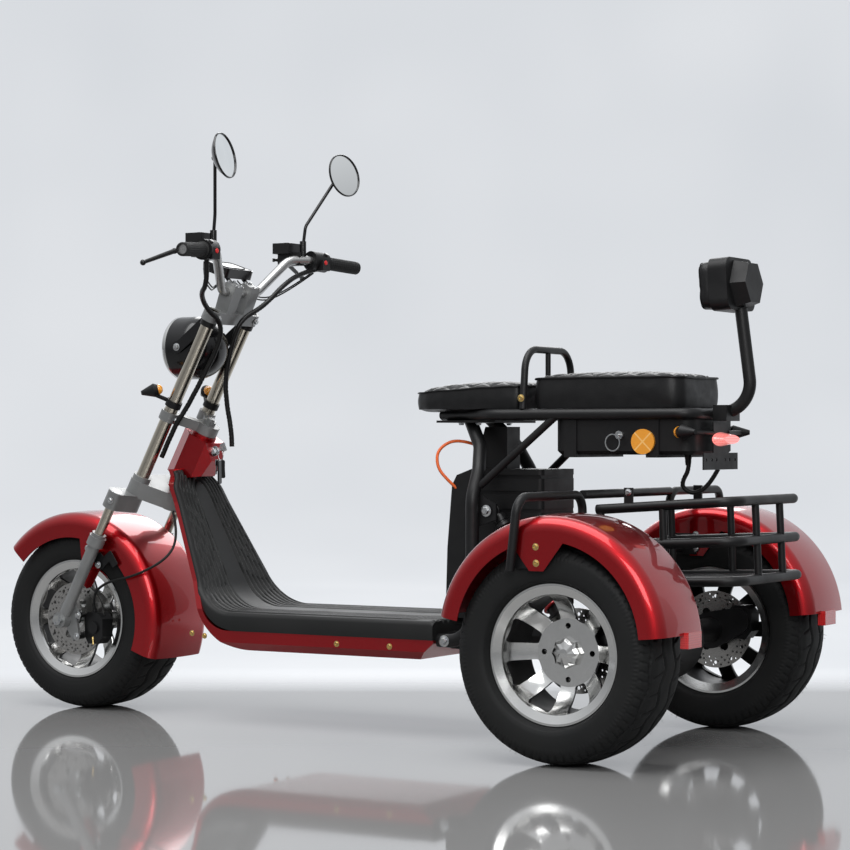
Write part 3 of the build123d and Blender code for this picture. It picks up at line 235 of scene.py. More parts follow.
def surface(
    name, colour, gloss, metallic=0.0, cloud=(40.0, 3.0), tones=None, blend=0.6, grain=None, stretch=(1, 1, 1), **plain,
):
    # roughness runs over gloss = (low, high) with a cloud of noise, and so does the colour between two tones;
    # grain = (scale, detail, noise roughness, strength, distance) is a second noise as bump
    f = Finish(name, colour, sum(gloss) / 2, metallic, **plain)
    drift = f.noise(*cloud, at=f.place(stretch))
    f.set("Roughness", f.spread(drift, *gloss))
    if tones:
        f.set("Base Color", f.mix(f.spread(drift, 0.0, blend), *tones))
    if grain:
        f.bump(f.noise(*grain[:3], at=f.place(stretch)), *grain[3:])
    return f.material


def candyPaint():
    # clear coat over deep red with fine metal flake
    f = Finish("candyPaint", (0.3, 0.003, 0.006), 0.3, 0.9, Coat_Weight=1.0, Coat_Roughness=0.025, Coat_IOR=1.38)
    grey = f.node("RGBToBW", None, {"Color": f.cells(1500.0, out=1)})
    tone = f.mix(f.spread(f.noise(3.0, 2.0), 0.0, 1.0), (0.27, 0.001, 0.004), (0.35, 0.002, 0.006))
    f.set("Base Color", f.mix(grey * 0.22, tone, (0.7, 0.012, 0.02)))
    f.set("Roughness", 0.3 + grey * 0.12)
    return f.material


def seatVinyl(soots):
    # pebbled vinyl: small cells with soft creases between them
    f = Finish("seatVinyl", soots[0], 0.42, Specular_IOR_Level=0.3)
    crease = f.noise(38.0, 5.0, 0.6)
    f.set("Base Color", f.mix(f.spread(crease, 0.0, 0.6), *soots))
    f.set("Roughness", f.spread(crease, 0.36, 0.5))
    f.bump(f.cells(520.0, {"feature": "SMOOTH_F1"}) * 0.7 + crease * 0.5, 0.35, 0.0008)
    return f.material


def prismLens(name, colour, glow=0.0):
    # a moulded lens: small square prisms behind a clear face
    f = Finish(name, colour, 0.12, Coat_Weight=1.0, Coat_Roughness=0.03)
    prisms = f.cells(190.0, {"distance": "CHEBYCHEV"}, Randomness=0.0)
    f.set("Base Color", f.mix(prisms * 1.4, colour, tuple(min(1.0, c * 1.8 + 0.03) for c in colour)))
    f.bump(prisms, 0.4, 0.001)
    if glow:
        f.set("Emission Color", f.mix(prisms * 1.5, colour, (1.0, 0.45, 0.4)))
        f.set("Emission Strength", glow)
    return f.material


def reflectorFinish(middle):
    # small square prisms: amber with a cross of clear bars round the middle's height, red well below it
    f = Finish("mouldedReflectors", (0.5, 0.01, 0.01), 0.12, Coat_Weight=1.0, Coat_Roughness=0.03)
    x, _, z = f.apart(middle)
    prisms = f.cells(210.0, {"distance": "CHEBYCHEV"}, Randomness=0.0)
    cross = abs(x + z).atMost(abs(x - z)) < 0.0022
    amber = f.mix(prisms * 1.2, (0.75, 0.2, 0.005), (1.0, 0.5, 0.04))
    amber = f.mix(cross * 0.8, amber, (1.0, 0.62, 0.2))
    red = f.mix(prisms * 1.2, (0.45, 0.006, 0.008), (0.9, 0.05, 0.05))
    f.set("Base Color", f.mix(z > -0.1, red, amber))
    f.bump(prisms, 0.4, 0.001)
    return f.material


def rimFinish(name, centre, side, face, edge):
    # the web's face is face + (edge - face)*share^1.68 from r = 70 to 125 mm; what lies deeper is black
    f = Finish(name, (0.8, 0.8, 0.8), 0.14, 1.0)
    x, y, z = f.apart(centre)
    r = (x * x + z * z) ** 0.5
    web = ((r - 0.07) / 0.055).atLeast(0.0001) ** 1.68 * (edge - face) + face
    deep = (web - y * side) > 0.0022
    lip = (abs(y) > edge + 0.003) * (r > 0.121)
    black = deep * (1 - deep.maths("MAXIMUM", lip, r > 0.1265))
    f.set("Base Color", f.mix(black, (0.62, 0.62, 0.61), (0.006, 0.006, 0.006)))
    f.set("Metallic", 1 - black)
    f.set("Roughness", f.spread(f.noise(26.0, 4.0), 0.1, 0.24) + black * 0.3)
    return f.material


def discFinish(name, centre):
    # three slanted rows of holes: alpha 0 where the nearest drilling centre is nearer than the hole's radius
    f = Finish(name, (0.55, 0.54, 0.53), 0.26, 1.0)
    x, y, z = f.apart(centre)
    r = (x * x + z * z) ** 0.5
    turn = x.maths("ARCTAN2", z, x) / (2 * math.pi)
    drilled = r * 0.0
    for step, rowRadius in enumerate(discLook["rows"]):
        share = turn * discLook["count"] + step * 0.36 + 50.0
        along = (share.maths("FRACT", share) - 0.5) * (2 * math.pi * rowRadius / discLook["count"])
        gap = (along * along + (r - rowRadius) * (r - rowRadius)) ** 0.5
        drilled = drilled.atLeast(gap < discLook["hole"])
    f.set("Alpha", 1 - drilled)
    rings = f.noise(1.0, 2.0, 0.5, f.node("CombineXYZ", None, {0: r * 900.0}))
    f.set("Roughness", f.spread(rings, 0.2, 0.36))
    f.set("Base Color", f.mix(f.spread(rings, 0.0, 1.0), (0.36, 0.35, 0.34), (0.46, 0.45, 0.43)))
    return f.material


discLook = {"rows": (0.0655, 0.0735, 0.0815), "count": 26, "hole": 0.0023}
soots = ((0.005, 0.005, 0.0055), (0.009, 0.009, 0.0095))
finishes = {
    "candy": candyPaint(),
    "powder": surface(
        "blackPowder", soots[0], (0.36, 0.5), cloud=(14.0, 5.0, 0.6), tones=soots,
        grain=(900.0, 2.0, 0.5, 0.25, 0.0004), Specular_IOR_Level=0.32,
    ),
    "plastic": surface(
        "mouldedPlastic", soots[0], (0.4, 0.55), cloud=(22.0, 3.0), tones=soots, blend=0.5,
        grain=(1400.0, 3.0, 0.5, 0.3, 0.0003), Specular_IOR_Level=0.3,
    ),
    "gloss": surface(
        "glossPlastic", soots[0], (0.12, 0.26), cloud=(30.0, 4.0), Coat_Weight=0.2, Coat_Roughness=0.06,
        Specular_IOR_Level=0.35,
    ),
    "tyre": surface(
        "tyreRubber", soots[1], (0.56, 0.74), cloud=(9.0, 6.0, 0.65),
        tones=((0.0075, 0.008, 0.0085), (0.015, 0.015, 0.0145)), blend=0.7, grain=(420.0, 3.0, 0.5, 0.22, 0.0006), Specular_IOR_Level=0.24,
    ),
    "mat": surface(
        "matRubber", soots[1], (0.46, 0.62), cloud=(6.0, 5.0, 0.6),
        tones=((0.007, 0.0075, 0.0075), (0.013, 0.013, 0.013)), grain=(650.0, 3.0, 0.5, 0.3, 0.0005), Specular_IOR_Level=0.3,
    ),
    "vinyl": seatVinyl(soots),
    "alloy": surface(
        "polishedAlloy", (0.62, 0.62, 0.61), (0.09, 0.2), 1.0, (26.0, 4.0),
        ((0.58, 0.58, 0.57), (0.66, 0.66, 0.65)), 1.0, (60.0, 2.0, 0.5, 0.05, 0.001),
    ),
    "brushed": surface(
        "brushedAlloy", (0.46, 0.46, 0.455), (0.24, 0.38), 1.0, (1.0, 3.0), grain=(1.0, 3.0, 0.5, 0.12, 0.0004),
        stretch=(900, 40, 900),
    ),
    "tube": surface("tubeSteel", (0.5, 0.46, 0.39), (0.11, 0.22), 1.0, (1.0, 4.0), stretch=(60, 900, 60)),
    "cast": surface(
        "castGrey", (0.25, 0.255, 0.255), (0.34, 0.48), 0.45, (16.0, 3.0),
        ((0.22, 0.225, 0.225), (0.28, 0.285, 0.285)), 1.0, (380.0, 4.0, 0.6, 0.3, 0.0005),
    ),
    "zinc": surface(
        "zincPlate", (0.5, 0.52, 0.54), (0.22, 0.4), 1.0, (160.0, 3.0), ((0.42, 0.44, 0.47), (0.56, 0.56, 0.54)), 1.0,
    ),
    "brass": surface("brassMetal", (0.62, 0.45, 0.18), (0.22, 0.42), 1.0, (90.0, 3.0)),
    "darkMetal": surface("darkMetal", (0.006, 0.006, 0.0065), (0.28, 0.44), Specular_IOR_Level=0.4),
    "hose": surface("hose", (0.005, 0.005, 0.005), (0.32, 0.48), Specular_IOR_Level=0.3),
    "greyFace": surface("greyFace", (0.05, 0.05, 0.055), (0.25, 0.35), Specular_IOR_Level=0.3),
    "orange": surface("orangeJacket", (0.8, 0.13, 0.015), (0.36, 0.48)),
    "redButton": surface("redButton", (0.75, 0.01, 0.012), (0.24, 0.36)),
    "mirrorGlass": surface("mirrorGlass", (0.88, 0.9, 0.9), (0.02, 0.02), 1.0),
    "clearLens": surface("clearLens", (0.75, 0.77, 0.78), (0.04, 0.08), 0.5, Coat_Weight=1.0),
    "redSpring": surface("redSpring", (0.5, 0.008, 0.012), (0.2, 0.3), 0.2, Coat_Weight=0.6),
    "amber": prismLens("amberLens", (0.85, 0.25, 0.01)),
    "redLamp": prismLens("redLamp", (0.7, 0.01, 0.015), 1.2),
    "reflector": reflectorFinish(chassis(-0.038, 0, 0.657)),
    "frontRim": rimFinish("frontRimAlloy", frontHub, 1, 0.030, 0.076),
    "leftRim": rimFinish("leftRimAlloy", rearHubs["left"], 1, 0.004, 0.060),
    "rightRim": rimFinish("rightRimAlloy", rearHubs["right"], -1, 0.004, 0.060),
    "frontDisc": discFinish("frontDiscSteel", frontHub),
    "leftDisc": discFinish("leftDiscSteel", rearHubs["left"]),
    "rightDisc": discFinish("rightDiscSteel", rearHubs["right"]),
}
print("finishes made:", len(finishes))


# Mesh helpers
def gridFaces(rows, columns, closeRows=False, closeColumns=False, start=0):
    # quads between the neighbours of a rows by columns grid, wrapping where asked
    i = np.arange(rows if closeRows else rows - 1)[:, None]
    j = np.arange(columns if closeColumns else columns - 1)[None, :]
    nextRow, nextColumn = (i + 1) % rows, (j + 1) % columns
    corners = [i * columns + j, nextRow * columns + j, nextRow * columns + nextColumn, i * columns + nextColumn]
    return start + np.stack([np.broadcast_to(c, (len(i), j.shape[1])).ravel() for c in corners], axis=1)


class Shape:
    # several grids gathered into one mesh
    def __init__(self):
        self.points, self.faces, self.count = [], [], 0

    def grid(self, points, closeRows=False, closeColumns=False, capEnds=False):
        # adds a grid of points as quads; capEnds closes its first and last rows with one face each
        rows, columns = points.shape[:2]
        self.faces += gridFaces(rows, columns, closeRows, closeColumns, self.count).tolist()
        if capEnds:
            last = self.count + (rows - 1) * columns
            self.faces.append(list(range(self.count, self.count + columns)))
            self.faces.append(list(range(last, last + columns))[::-1])
        self.points.append(points.reshape(-1, 3))
        self.count += rows * columns
        return self

    def tube(self, points):
        # rings that close on themselves, with both ends capped
        return self.grid(points, closeColumns=True, capEnds=True)

    def lathe(self, profile, centre, axis, steps=64):
        return self.grid(turned(profile, centre, axis, steps), closeRows=True)

    def make(self, name, finish, body, slot, node=None, sharp=40.0, smooth=True, merge=1e-5):
        # an object at the origin that rides on a body;
        # doubles are merged, faces turned outwards, and corners over sharp degrees kept crisp
        mesh = bpy.data.meshes.new(name)
        mesh.from_pydata(np.concatenate(self.points).tolist(), [], self.faces)
        work = bmesh.new()
        work.from_mesh(mesh)
        bmesh.ops.remove_doubles(work, verts=work.verts, dist=merge)
        bmesh.ops.dissolve_degenerate(work, edges=work.edges, dist=merge / 2)
        bmesh.ops.recalc_face_normals(work, faces=work.faces)
        for edge in work.edges:
            edge.smooth = not (edge.is_manifold and edge.calc_face_angle(0) > math.radians(sharp))
        work.to_mesh(mesh)
        work.free()
        mesh.polygons.foreach_set("use_smooth", np.full(len(mesh.polygons), smooth))
        piece = bpy.data.objects.new(name, mesh)
        bpy.context.scene.collection.objects.link(piece)
        mesh.materials.append(finishes[finish])
        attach(piece, body)
        if node:
            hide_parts(node)
        return piece


def turned(profile, centre, axis, steps=64):
    # a profile of (radius, along) pairs carried round an axis: p = centre + along*axis + radius*(cos, sin)
    axis = unit(axis)
    side = unit(np.cross(axis, upward if abs(axis[2]) < 0.9 else ahead))
    angles = 2 * np.pi * np.arange(steps) / steps
    radius, along = np.array(profile, float).T
    ring = np.cos(angles)[:, None] * side + np.sin(angles)[:, None] * np.cross(axis, side)
    return centre + along[None, :, None] * axis + radius[None, :, None] * ring[:, None, :]


def bentRoute(points, bend, arcSteps=10):
    # straight runs joined by tangent arcs, as a bent tube's centre line
    points = [np.array(p, float) for p in points]
    route = [points[0][None]]
    for before, corner, after in zip(points, points[1:], points[2:]):
        inward, outward = unit(before - corner), unit(after - corner)
        half = math.acos(np.clip(np.dot(inward, outward), -1, 1)) / 2
        reach = bend / math.tan(half)
        centre = corner + unit(inward + outward) * bend / math.sin(half)
        begin, end = corner + inward * reach - centre, corner + outward * reach - centre
        swing = math.pi - 2 * half
        share = np.linspace(0, 1, arcSteps)[:, None]
        route.append(centre + (np.sin((1 - share) * swing) * begin + np.sin(share * swing) * end) / math.sin(swing))
    return np.concatenate(route + [points[-1][None]])


def ringsAlong(line, side, other, size, angles):
    # circles square to a line: p = c + size*(cos a * side + sin a * other)
    ring = np.cos(angles)[None, :, None] * side[:, None] + np.sin(angles)[None, :, None] * other[:, None]
    return line[:, None] + size * ring


def barGrid(route, radius, sides=20):
    # a round bar along a flat route, its rings' sides square to the route's plane
    tangent = unit(np.gradient(route, axis=0))
    _, vectors = np.linalg.eigh(tangent.T @ tangent)
    side = unit(np.cross(tangent, vectors[:, 0]))
    angles = np.linspace(0, 2 * np.pi, sides, endpoint=False)
    return ringsAlong(route, side, np.cross(tangent, side), radius, angles)


def smoothstep(low, high, value):
    # 0 below low, 1 above high, 3t^2 - 2t^3 between
    share = np.clip((value - low) / (high - low), 0, 1)
    return share * share * (3 - 2 * share)


def groove(distance, width):
    # 1 in the middle of a groove of that half width, 0 outside, with sloped walls
    return 1 - smoothstep(width * 0.55, width, np.abs(distance))


def averaged(values, passes, wrap=False):
    # each value becomes a quarter, a half and a quarter of its neighbours and itself, a few times over
    for _ in range(passes):
        if wrap:
            values = 0.25 * np.roll(values, 1) + 0.5 * values + 0.25 * np.roll(values, -1)
        else:
            values[1:-1] = 0.25 * values[:-2] + 0.5 * values[1:-1] + 0.25 * values[2:]
    return values


def respaced(line, samples=None, step=None):
    # the same line with its points evenly far apart, and how far along each one is
    run = np.concatenate([[0], np.cumsum(np.linalg.norm(np.diff(line, axis=0), axis=1))])
    spots = np.linspace(0, run[-1], samples or max(8, int(run[-1] / step)))
    return np.stack([np.interp(spots, run, column) for column in line.T], axis=1), spots


def bolt(shape, spot, axis, radius=0.006, height=0.005, socket=False):
    # a washer, then a chamfered hexagon; a socket head is round with a sunk middle
    base = height * 0.25
    wide, top = radius * 1.5, base + height
    washer = [(0, 0), (wide, 0), (wide, base * 0.8), (wide * 0.94, base), (0, base)]
    shape.lathe(washer, spot, axis, 20)
    if socket:
        head = [(0, base), (radius, base), (radius, base + height * 0.8), (radius * 0.9, top), (radius * 0.5, top)]
        head += [(radius * 0.45, base + height * 0.4), (0, base + height * 0.4)]
    else:
        head = [(0, base), (radius, base), (radius, base + height * 0.85), (radius * 0.88, top), (0, top)]
    shape.lathe(head, spot, axis, 16 if socket else 6)


def plate(outline, origin, across, up, thickness, edge=0.0008):
    # a flat plate: an outline of (across, up) pairs, run through its thickness with small sloped edges
    outline, across, up = np.array(outline, float), unit(across), unit(up)
    out = outline - outline.mean(axis=0)
    inset = outline.mean(axis=0) + out * (1 - edge / np.linalg.norm(out, axis=1, keepdims=True))
    levels = [(inset, 0), (outline, edge), (outline, thickness - edge), (inset, thickness)]
    normal = np.cross(across, up)
    return np.stack([origin + o[:, :1] * across + o[:, 1:] * up + depth * normal for o, depth in levels])


def roundedOutline(points, radius, steps=5):
    # a polygon with its corners rounded by arcs
    ring = [np.append(p, 0) for p in points]
    middle = [(ring[-1] + ring[0]) / 2]
    return bentRoute(middle + ring + middle, radius, steps)[1:, :2]


def rectangle(halfWide, low, high):
    return [(-halfWide, low), (halfWide, low), (halfWide, high), (-halfWide, high)]


# Tyres
tyreLook = {"around": 600, "across": 121, "pitches": 18, "depth": 0.0042, "ring": 0.0007, "hairs": 260}


def tyreSurface(centre, radius, half, bead):
    # section (radius, y) of bead, wall and crown, pushed in along its own normal by the tread's depth
    wall = [(0.127, bead), (0.1445, bead), (0.1462, bead + 0.009), (0.152, half - 0.006), (0.163, half - 0.0015)]
    wall += [(radius - 0.048, half), (radius - 0.032, half - 0.001), (radius - 0.019, half - 0.007)]
    wall += [(radius - 0.009, half - 0.021), (radius - 0.003, half - 0.043), (radius, 0.0)]
    section = np.array([(r, -y) for r, y in wall] + wall[-2::-1])
    section = averaged(respaced(section, tyreLook["across"])[0], 3)
    section[:, 0] *= radius / section[:, 0].max()
    slope = unit(np.gradient(section, axis=0))
    outward = np.stack([slope[:, 1], -slope[:, 0]], axis=1)
    outward *= np.sign(outward[tyreLook["across"] // 2, 0])
    run = np.concatenate([[0], np.cumsum(np.linalg.norm(np.diff(section, axis=0), axis=1))])
    share = np.arange(tyreLook["around"])[:, None] / tyreLook["around"]
    # v is the way from the crown's middle, u the turn in tread pitches
    v = np.abs(run - run[-1] / 2)[None, :] + 0 * share
    u = share * tyreLook["pitches"] + 0 * v
    side = np.sign(section[:, 1])[None, :]
    pitch = 2 * np.pi * radius / tyreLook["pitches"]

    def slots(times, slant):
        return np.abs((u * times + slant) % 1 - 0.5) * pitch / times

    def between(low, lowEnd, high, highEnd):
        return smoothstep(low, lowEnd, v) * (1 - smoothstep(high, highEnd, v))

    cut = groove(v - 0.066 - 0.007 * np.abs(np.sin(np.pi * (u + 0.25 * side))), 0.0034)
    cut = np.maximum(cut, groove(v - 0.024 - 0.006 * np.sin(2 * np.pi * (u + 0.5 * (side > 0))), 0.0042))
    cut = np.maximum(cut, groove(slots(4, v * 14 * side), 0.0026) * between(0.074, 0.078, 0.092, 0.097) * 0.6)
    cut = np.maximum(cut, groove(slots(2, -v * 9 * side), 0.003) * between(0.026, 0.03, 0.056, 0.06))
    rings = groove(section[:, 0] - 0.1535, 0.0022) + 0.8 * groove(section[:, 0] - 0.1595, 0.0018)
    rings = (rings * (np.abs(section[:, 1]) > half * 0.75))[None, :]
    shoulder = groove(section[:, 0] - (radius - 0.031), 0.006)[None, :] * (v > 0.09)
    push = rings * tyreLook["ring"] + groove(slots(8, 0), 0.0024) * shoulder * 0.0009 - cut * tyreLook["depth"]
    r = section[:, 0] + np.minimum(push * outward[:, 0], radius - section[:, 0])
    y = np.clip(section[:, 1] + push * outward[:, 1], -half, half)
    angle = share * 2 * np.pi
    return centre + np.stack([r * np.cos(angle), y, r * np.sin(angle)], axis=2)


def tyreHairs(shape, centre, radius, half):
    # moulding hairs: thin four-sided spikes standing out of the shoulder and crown, bent a little
    luck = np.random.default_rng(7)
    angle = luck.uniform(0, 2 * np.pi, tyreLook["hairs"])
    y = luck.uniform(-0.78, 0.78, tyreLook["hairs"]) * half
    low = np.minimum(radius - 0.006 - 0.012 * (np.abs(y) / half) ** 3, radius - 0.009)
    keep = np.sin(angle) > -0.94
    for a, across, base in zip(angle[keep], y[keep], low[keep]):
        out = np.array([np.cos(a), 0, np.sin(a)])
        along = np.array([-np.sin(a), 0, np.cos(a)])
        root = centre + out * base + leftward * across
        tip = root + out * (radius - 0.0003 - base)
        ring = np.array([along, leftward, -along, -leftward]) * 0.0004
        shape.tube(np.stack([root + ring, tip + ring * 0.4 + along * 0.002]))


for place, wheel, radius, half, bead in (
    ("front", frontHub, 0.222, 0.097, 0.080),
    ("rear_left", rearHubs["left"], 0.227, 0.092, 0.064),
    ("rear_right", rearHubs["right"], 0.227, 0.092, 0.064),
):
    tread = Shape().grid(tyreSurface(wheel, radius, half, bead), closeRows=True, closeColumns=True)
    tyreHairs(tread, wheel, radius, half)
    tread.make(place + "_treaded_tyre", "tyre", place + "_wheel", "tyre", place + "_tyre", 60)

# Centre caps: eight points, the radius of each of 16 corners times the row's share, raised by the row's rise
capLook = {"base": (0.0335, 0.0290), "top": (0.031, 0.0255), "button": 0.009, "face": 0.0042}
capRows = ((1.0, 0.0), (1.0, 0.006), (0.93, 0.0135), (0.8, 0.0178), (0.3, 0.0222), (0.0, 0.0226))
for place, side in (("left", 1), ("right", -1)):
    angle = np.linspace(0, 2 * np.pi, 16, endpoint=False)
    rows = []
    for share, rise in capRows:
        corners = np.tile(capLook["base" if share > 0.85 else "top"], 8) * share
        r = corners if share > 0.35 else np.full(16, capLook["button"] * share / 0.3)
        y = np.full(16, side * (capLook["face"] + rise))
        rows.append(np.stack([r * np.cos(angle), y, r * np.sin(angle)], axis=1))
    cap = Shape().grid(rearHubs[place] + np.stack(rows), closeColumns=True)
    cap.make(f"rear_{place}_star_cap", "alloy", f"rear_{place}_wheel", "polished_alloy", sharp=10, smooth=False)
print("wheels made")


# Seats: crowned cushions with quilted tops, a piped seam and smooth side bands
def outlineReach(outline, angles):
    # distance from the middle to a closed outline along each angle: r = cross(p, e) / cross(d, e), nearest hit
    p = outline[None]
    e = np.roll(outline, -1, axis=0)[None] - p
    d = np.stack([np.cos(angles), np.sin(angles)], axis=1)[:, None]
    across = d[..., 0] * e[..., 1] - d[..., 1] * e[..., 0]
    across = np.where(np.abs(across) < 1e-12, 1e-12, across)
    reach = (p[..., 0] * e[..., 1] - p[..., 1] * e[..., 0]) / across
    along = (p[..., 0] * d[..., 1] - p[..., 1] * d[..., 0]) / across
    hit = (reach > 0) & (along >= -1e-9) & (along <= 1 + 1e-9)
    return np.where(hit, reach, np.inf).min(axis=1)


def cushion(outline, low, high, crown, edge, pitch, middle, line, depth, around=240, rings=46, tilt=0.0):
    # rows run from the middle of the underside, round the edge, to the middle of the top;
    # height of the top = edge height + crown*(1 - share^2.6) - quilt grooves, with a piped ridge at the seam
    outline = np.array(outline, float)
    centre = (outline.max(axis=0) + outline.min(axis=0)) / 2
    angles = np.linspace(0, 2 * np.pi, around, endpoint=False)
    reach = averaged(outlineReach(outline - centre, angles), 5, wrap=True)
    levels = [(share, 0.0) for share in np.linspace(0.02, 0.965, 12)]
    levels += [(0.985 + 0.015 * math.sin(math.pi * t), t) for t in np.linspace(0, 1, 12)]
    levels += [(1.004, 1.015), (1.008, 1.045), (1.002, 1.075), (0.988, 1.06)]
    levels += [(share, None) for share in np.linspace(0.975, 0.02, rings)]
    rows = []
    for share, level in levels:
        x, y = centre[0] + reach * share * np.cos(angles), centre[1] + reach * share * np.sin(angles)
        rim = high - crown - tilt * (x - outline[:, 0].min()) / np.ptp(outline[:, 0])
        if level is None:
            z = rim + crown * (1 - share ** 2.6) - edge * (smoothstep(0.86, 1.0, share) * 0.5 - 0.15)
            z -= diamonds(x - middle, y, pitch, line) * depth * (1 - smoothstep(0.84, 0.95, share))
            z -= groove(share - 0.93, 0.03) * 0.003
        else:
            z = low + level * (rim - low)
        rows.append(np.stack([x, y, z], axis=1))
    return np.stack(rows)


def diamonds(x, y, pitch, width):
    # two crossing sets of stitched lines: 1 on the nearest line, falling off as exp(-(distance/width)^1.2)
    lines = [np.abs((c / pitch % 1) - 0.5) * pitch / math.sqrt(2) for c in (x + y, x - y)]
    return np.exp(-(np.minimum(*lines) / width) ** 1.2)


def spotsOf(mesh):
    spots = np.empty(len(mesh.vertices) * 3)
    mesh.vertices.foreach_get("co", spots)
    return spots.reshape(-1, 3)


def puffed(piece, cap, voxel):
    # a cloth copy swollen from inside, its moves capped, read back onto the cushion's own points
    scene = bpy.context.scene
    copied = bpy.data.objects.new("softCopy", piece.data.copy())
    scene.collection.objects.link(copied)
    remesh = copied.modifiers.new("remesh", "REMESH")
    remesh.mode = "VOXEL"
    remesh.voxel_size = voxel
    shell = bpy.data.meshes.new_from_object(copied.evaluated_get(bpy.context.evaluated_depsgraph_get()))
    bpy.data.objects.remove(copied)
    soft = bpy.data.objects.new("softShell", shell)
    scene.collection.objects.link(soft)
    cloth = soft.modifiers.new("cloth", "CLOTH")
    cloth.settings.use_pressure = True
    cloth.settings.uniform_pressure_force = seatLook["pressure"]
    cloth.settings.effector_weights.gravity = 0
    cloth.settings.quality = 5
    cloth.point_cache.frame_start, cloth.point_cache.frame_end = 1, 20
    for frameNumber in range(1, 21):
        scene.frame_set(frameNumber)
    before = spotsOf(shell)
    moved = spotsOf(soft.evaluated_get(bpy.context.evaluated_depsgraph_get()).to_mesh()) - before
    size = np.linalg.norm(moved, axis=1, keepdims=True)
    moved *= np.minimum(size, cap) / np.maximum(size, 1e-9)
    scene.frame_set(1)
    tree = KDTree(len(before))
    for index, spot in enumerate(before):
        tree.insert(spot, index)
    tree.balance()
    start = spotsOf(piece.data)
    hits = [tree.find_n(spot, 6) for spot in start]
    near = np.array([[hit[1] for hit in row] for row in hits])
    weight = 1 / (np.array([[hit[2] for hit in row] for row in hits]) + 0.002)
    weight /= weight.sum(axis=1, keepdims=True)
    shift = (moved[near] * weight[..., None]).sum(axis=1)
    piece.data.vertices.foreach_set("co", (start + shift).ravel())
    piece.data.update()
    bpy.data.objects.remove(soft)


def roundBox(lowX, highX, half, corner):
    # a rectangle with quarter circles at its corners
    left, right, reach = lowX + corner, highX - corner, half - corner
    arcs = []
    for turn, centre in enumerate(((right, reach), (left, reach), (left, -reach), (right, -reach))):
        angles = np.radians(90 * turn + np.linspace(0, 90, 8))
        arcs.append(np.array(centre) + corner * np.stack([np.cos(angles), np.sin(angles)], axis=1))
    return np.concatenate(arcs)


seatLook = {
    "pressure": 4.0, "cap": 0.005, "voxel": 0.006, "diamond": 0.05, "line": 0.0045, "depth": 0.0042, "fill": 0.85,
}
saddleHalf = [
    (0.263, 0.108), (0.30, 0.113), (0.40, 0.117), (0.47, 0.106), (0.52, 0.09), (0.555, 0.066), (0.574, 0.036),
    (0.5795, 0.0),
]
saddleOutline = [(rearX + x, y) for x, y in saddleHalf] + [(rearX + x, -y) for x, y in saddleHalf[-2::-1]]
padOutline = roundBox(rearX - 0.1255, rearX + 0.2425, 0.1165, 0.034)
sewn = (seatLook["line"], seatLook["depth"])
lean = math.atan(0.06)
flat = cushion(roundBox(-0.0675, 0.0675, 0.0505, 0.024), 0.0, 0.031, 0.008, 0.006, 0.034, 0.0, 0.0035, 0.003, 160, 26)
backAxes = np.array([leftward, (math.sin(lean), 0, math.cos(lean)), (math.cos(lean), 0, -math.sin(lean))])
for name, node, points, cap, voxel in (
    ("front_saddle_cushion", "front_saddle", cushion(
        saddleOutline, 0.7285, 0.7905, 0.012, 0.008, seatLook["diamond"], rearX + 0.42, *sewn, tilt=0.014,
    ), seatLook["cap"], seatLook["voxel"]),
    ("rear_seat_cushion", "rear_seat_pad", cushion(
        padOutline, 0.7285, 0.8035, 0.011, 0.008, seatLook["diamond"], rearX + 0.06, *sewn,
    ), seatLook["cap"], seatLook["voxel"]),
    ("backrest_cushion", "backrest_pad", chassis(-0.169, 0, 0.990) + flat @ backAxes, 0.003, 0.004),
):
    piece = Shape().tube(points).make(name, "vinyl", "frame", "seat_leather", node, 70)
    puffed(piece, cap, voxel)
print("cushions made")


# Floor mat: the sloped shield, the bend and the flat floor as one grooved rubber sheet
matLook = {
    "bend": 0.110, "groove": 0.0042, "depth": 0.0045, "first": 0.042, "pitch": 0.01848, "rings": 7, "rib": 0.0022,
    "floorZ": 0.263, "footX": 1.0636, "rear": 0.447, "top": 0.590, "slope": 1 / 2.04, "half": 0.178, "corner": 0.014,
    "heights": (0.24, 0.266, 0.329, 0.512, 0.554, 0.573, 0.59),
    "halves": (0.178, 0.176, 0.150, 0.104, 0.098, 0.077, 0.074),
    "thick": (0.045, 0.0095), "along": 420, "across": 150,
}


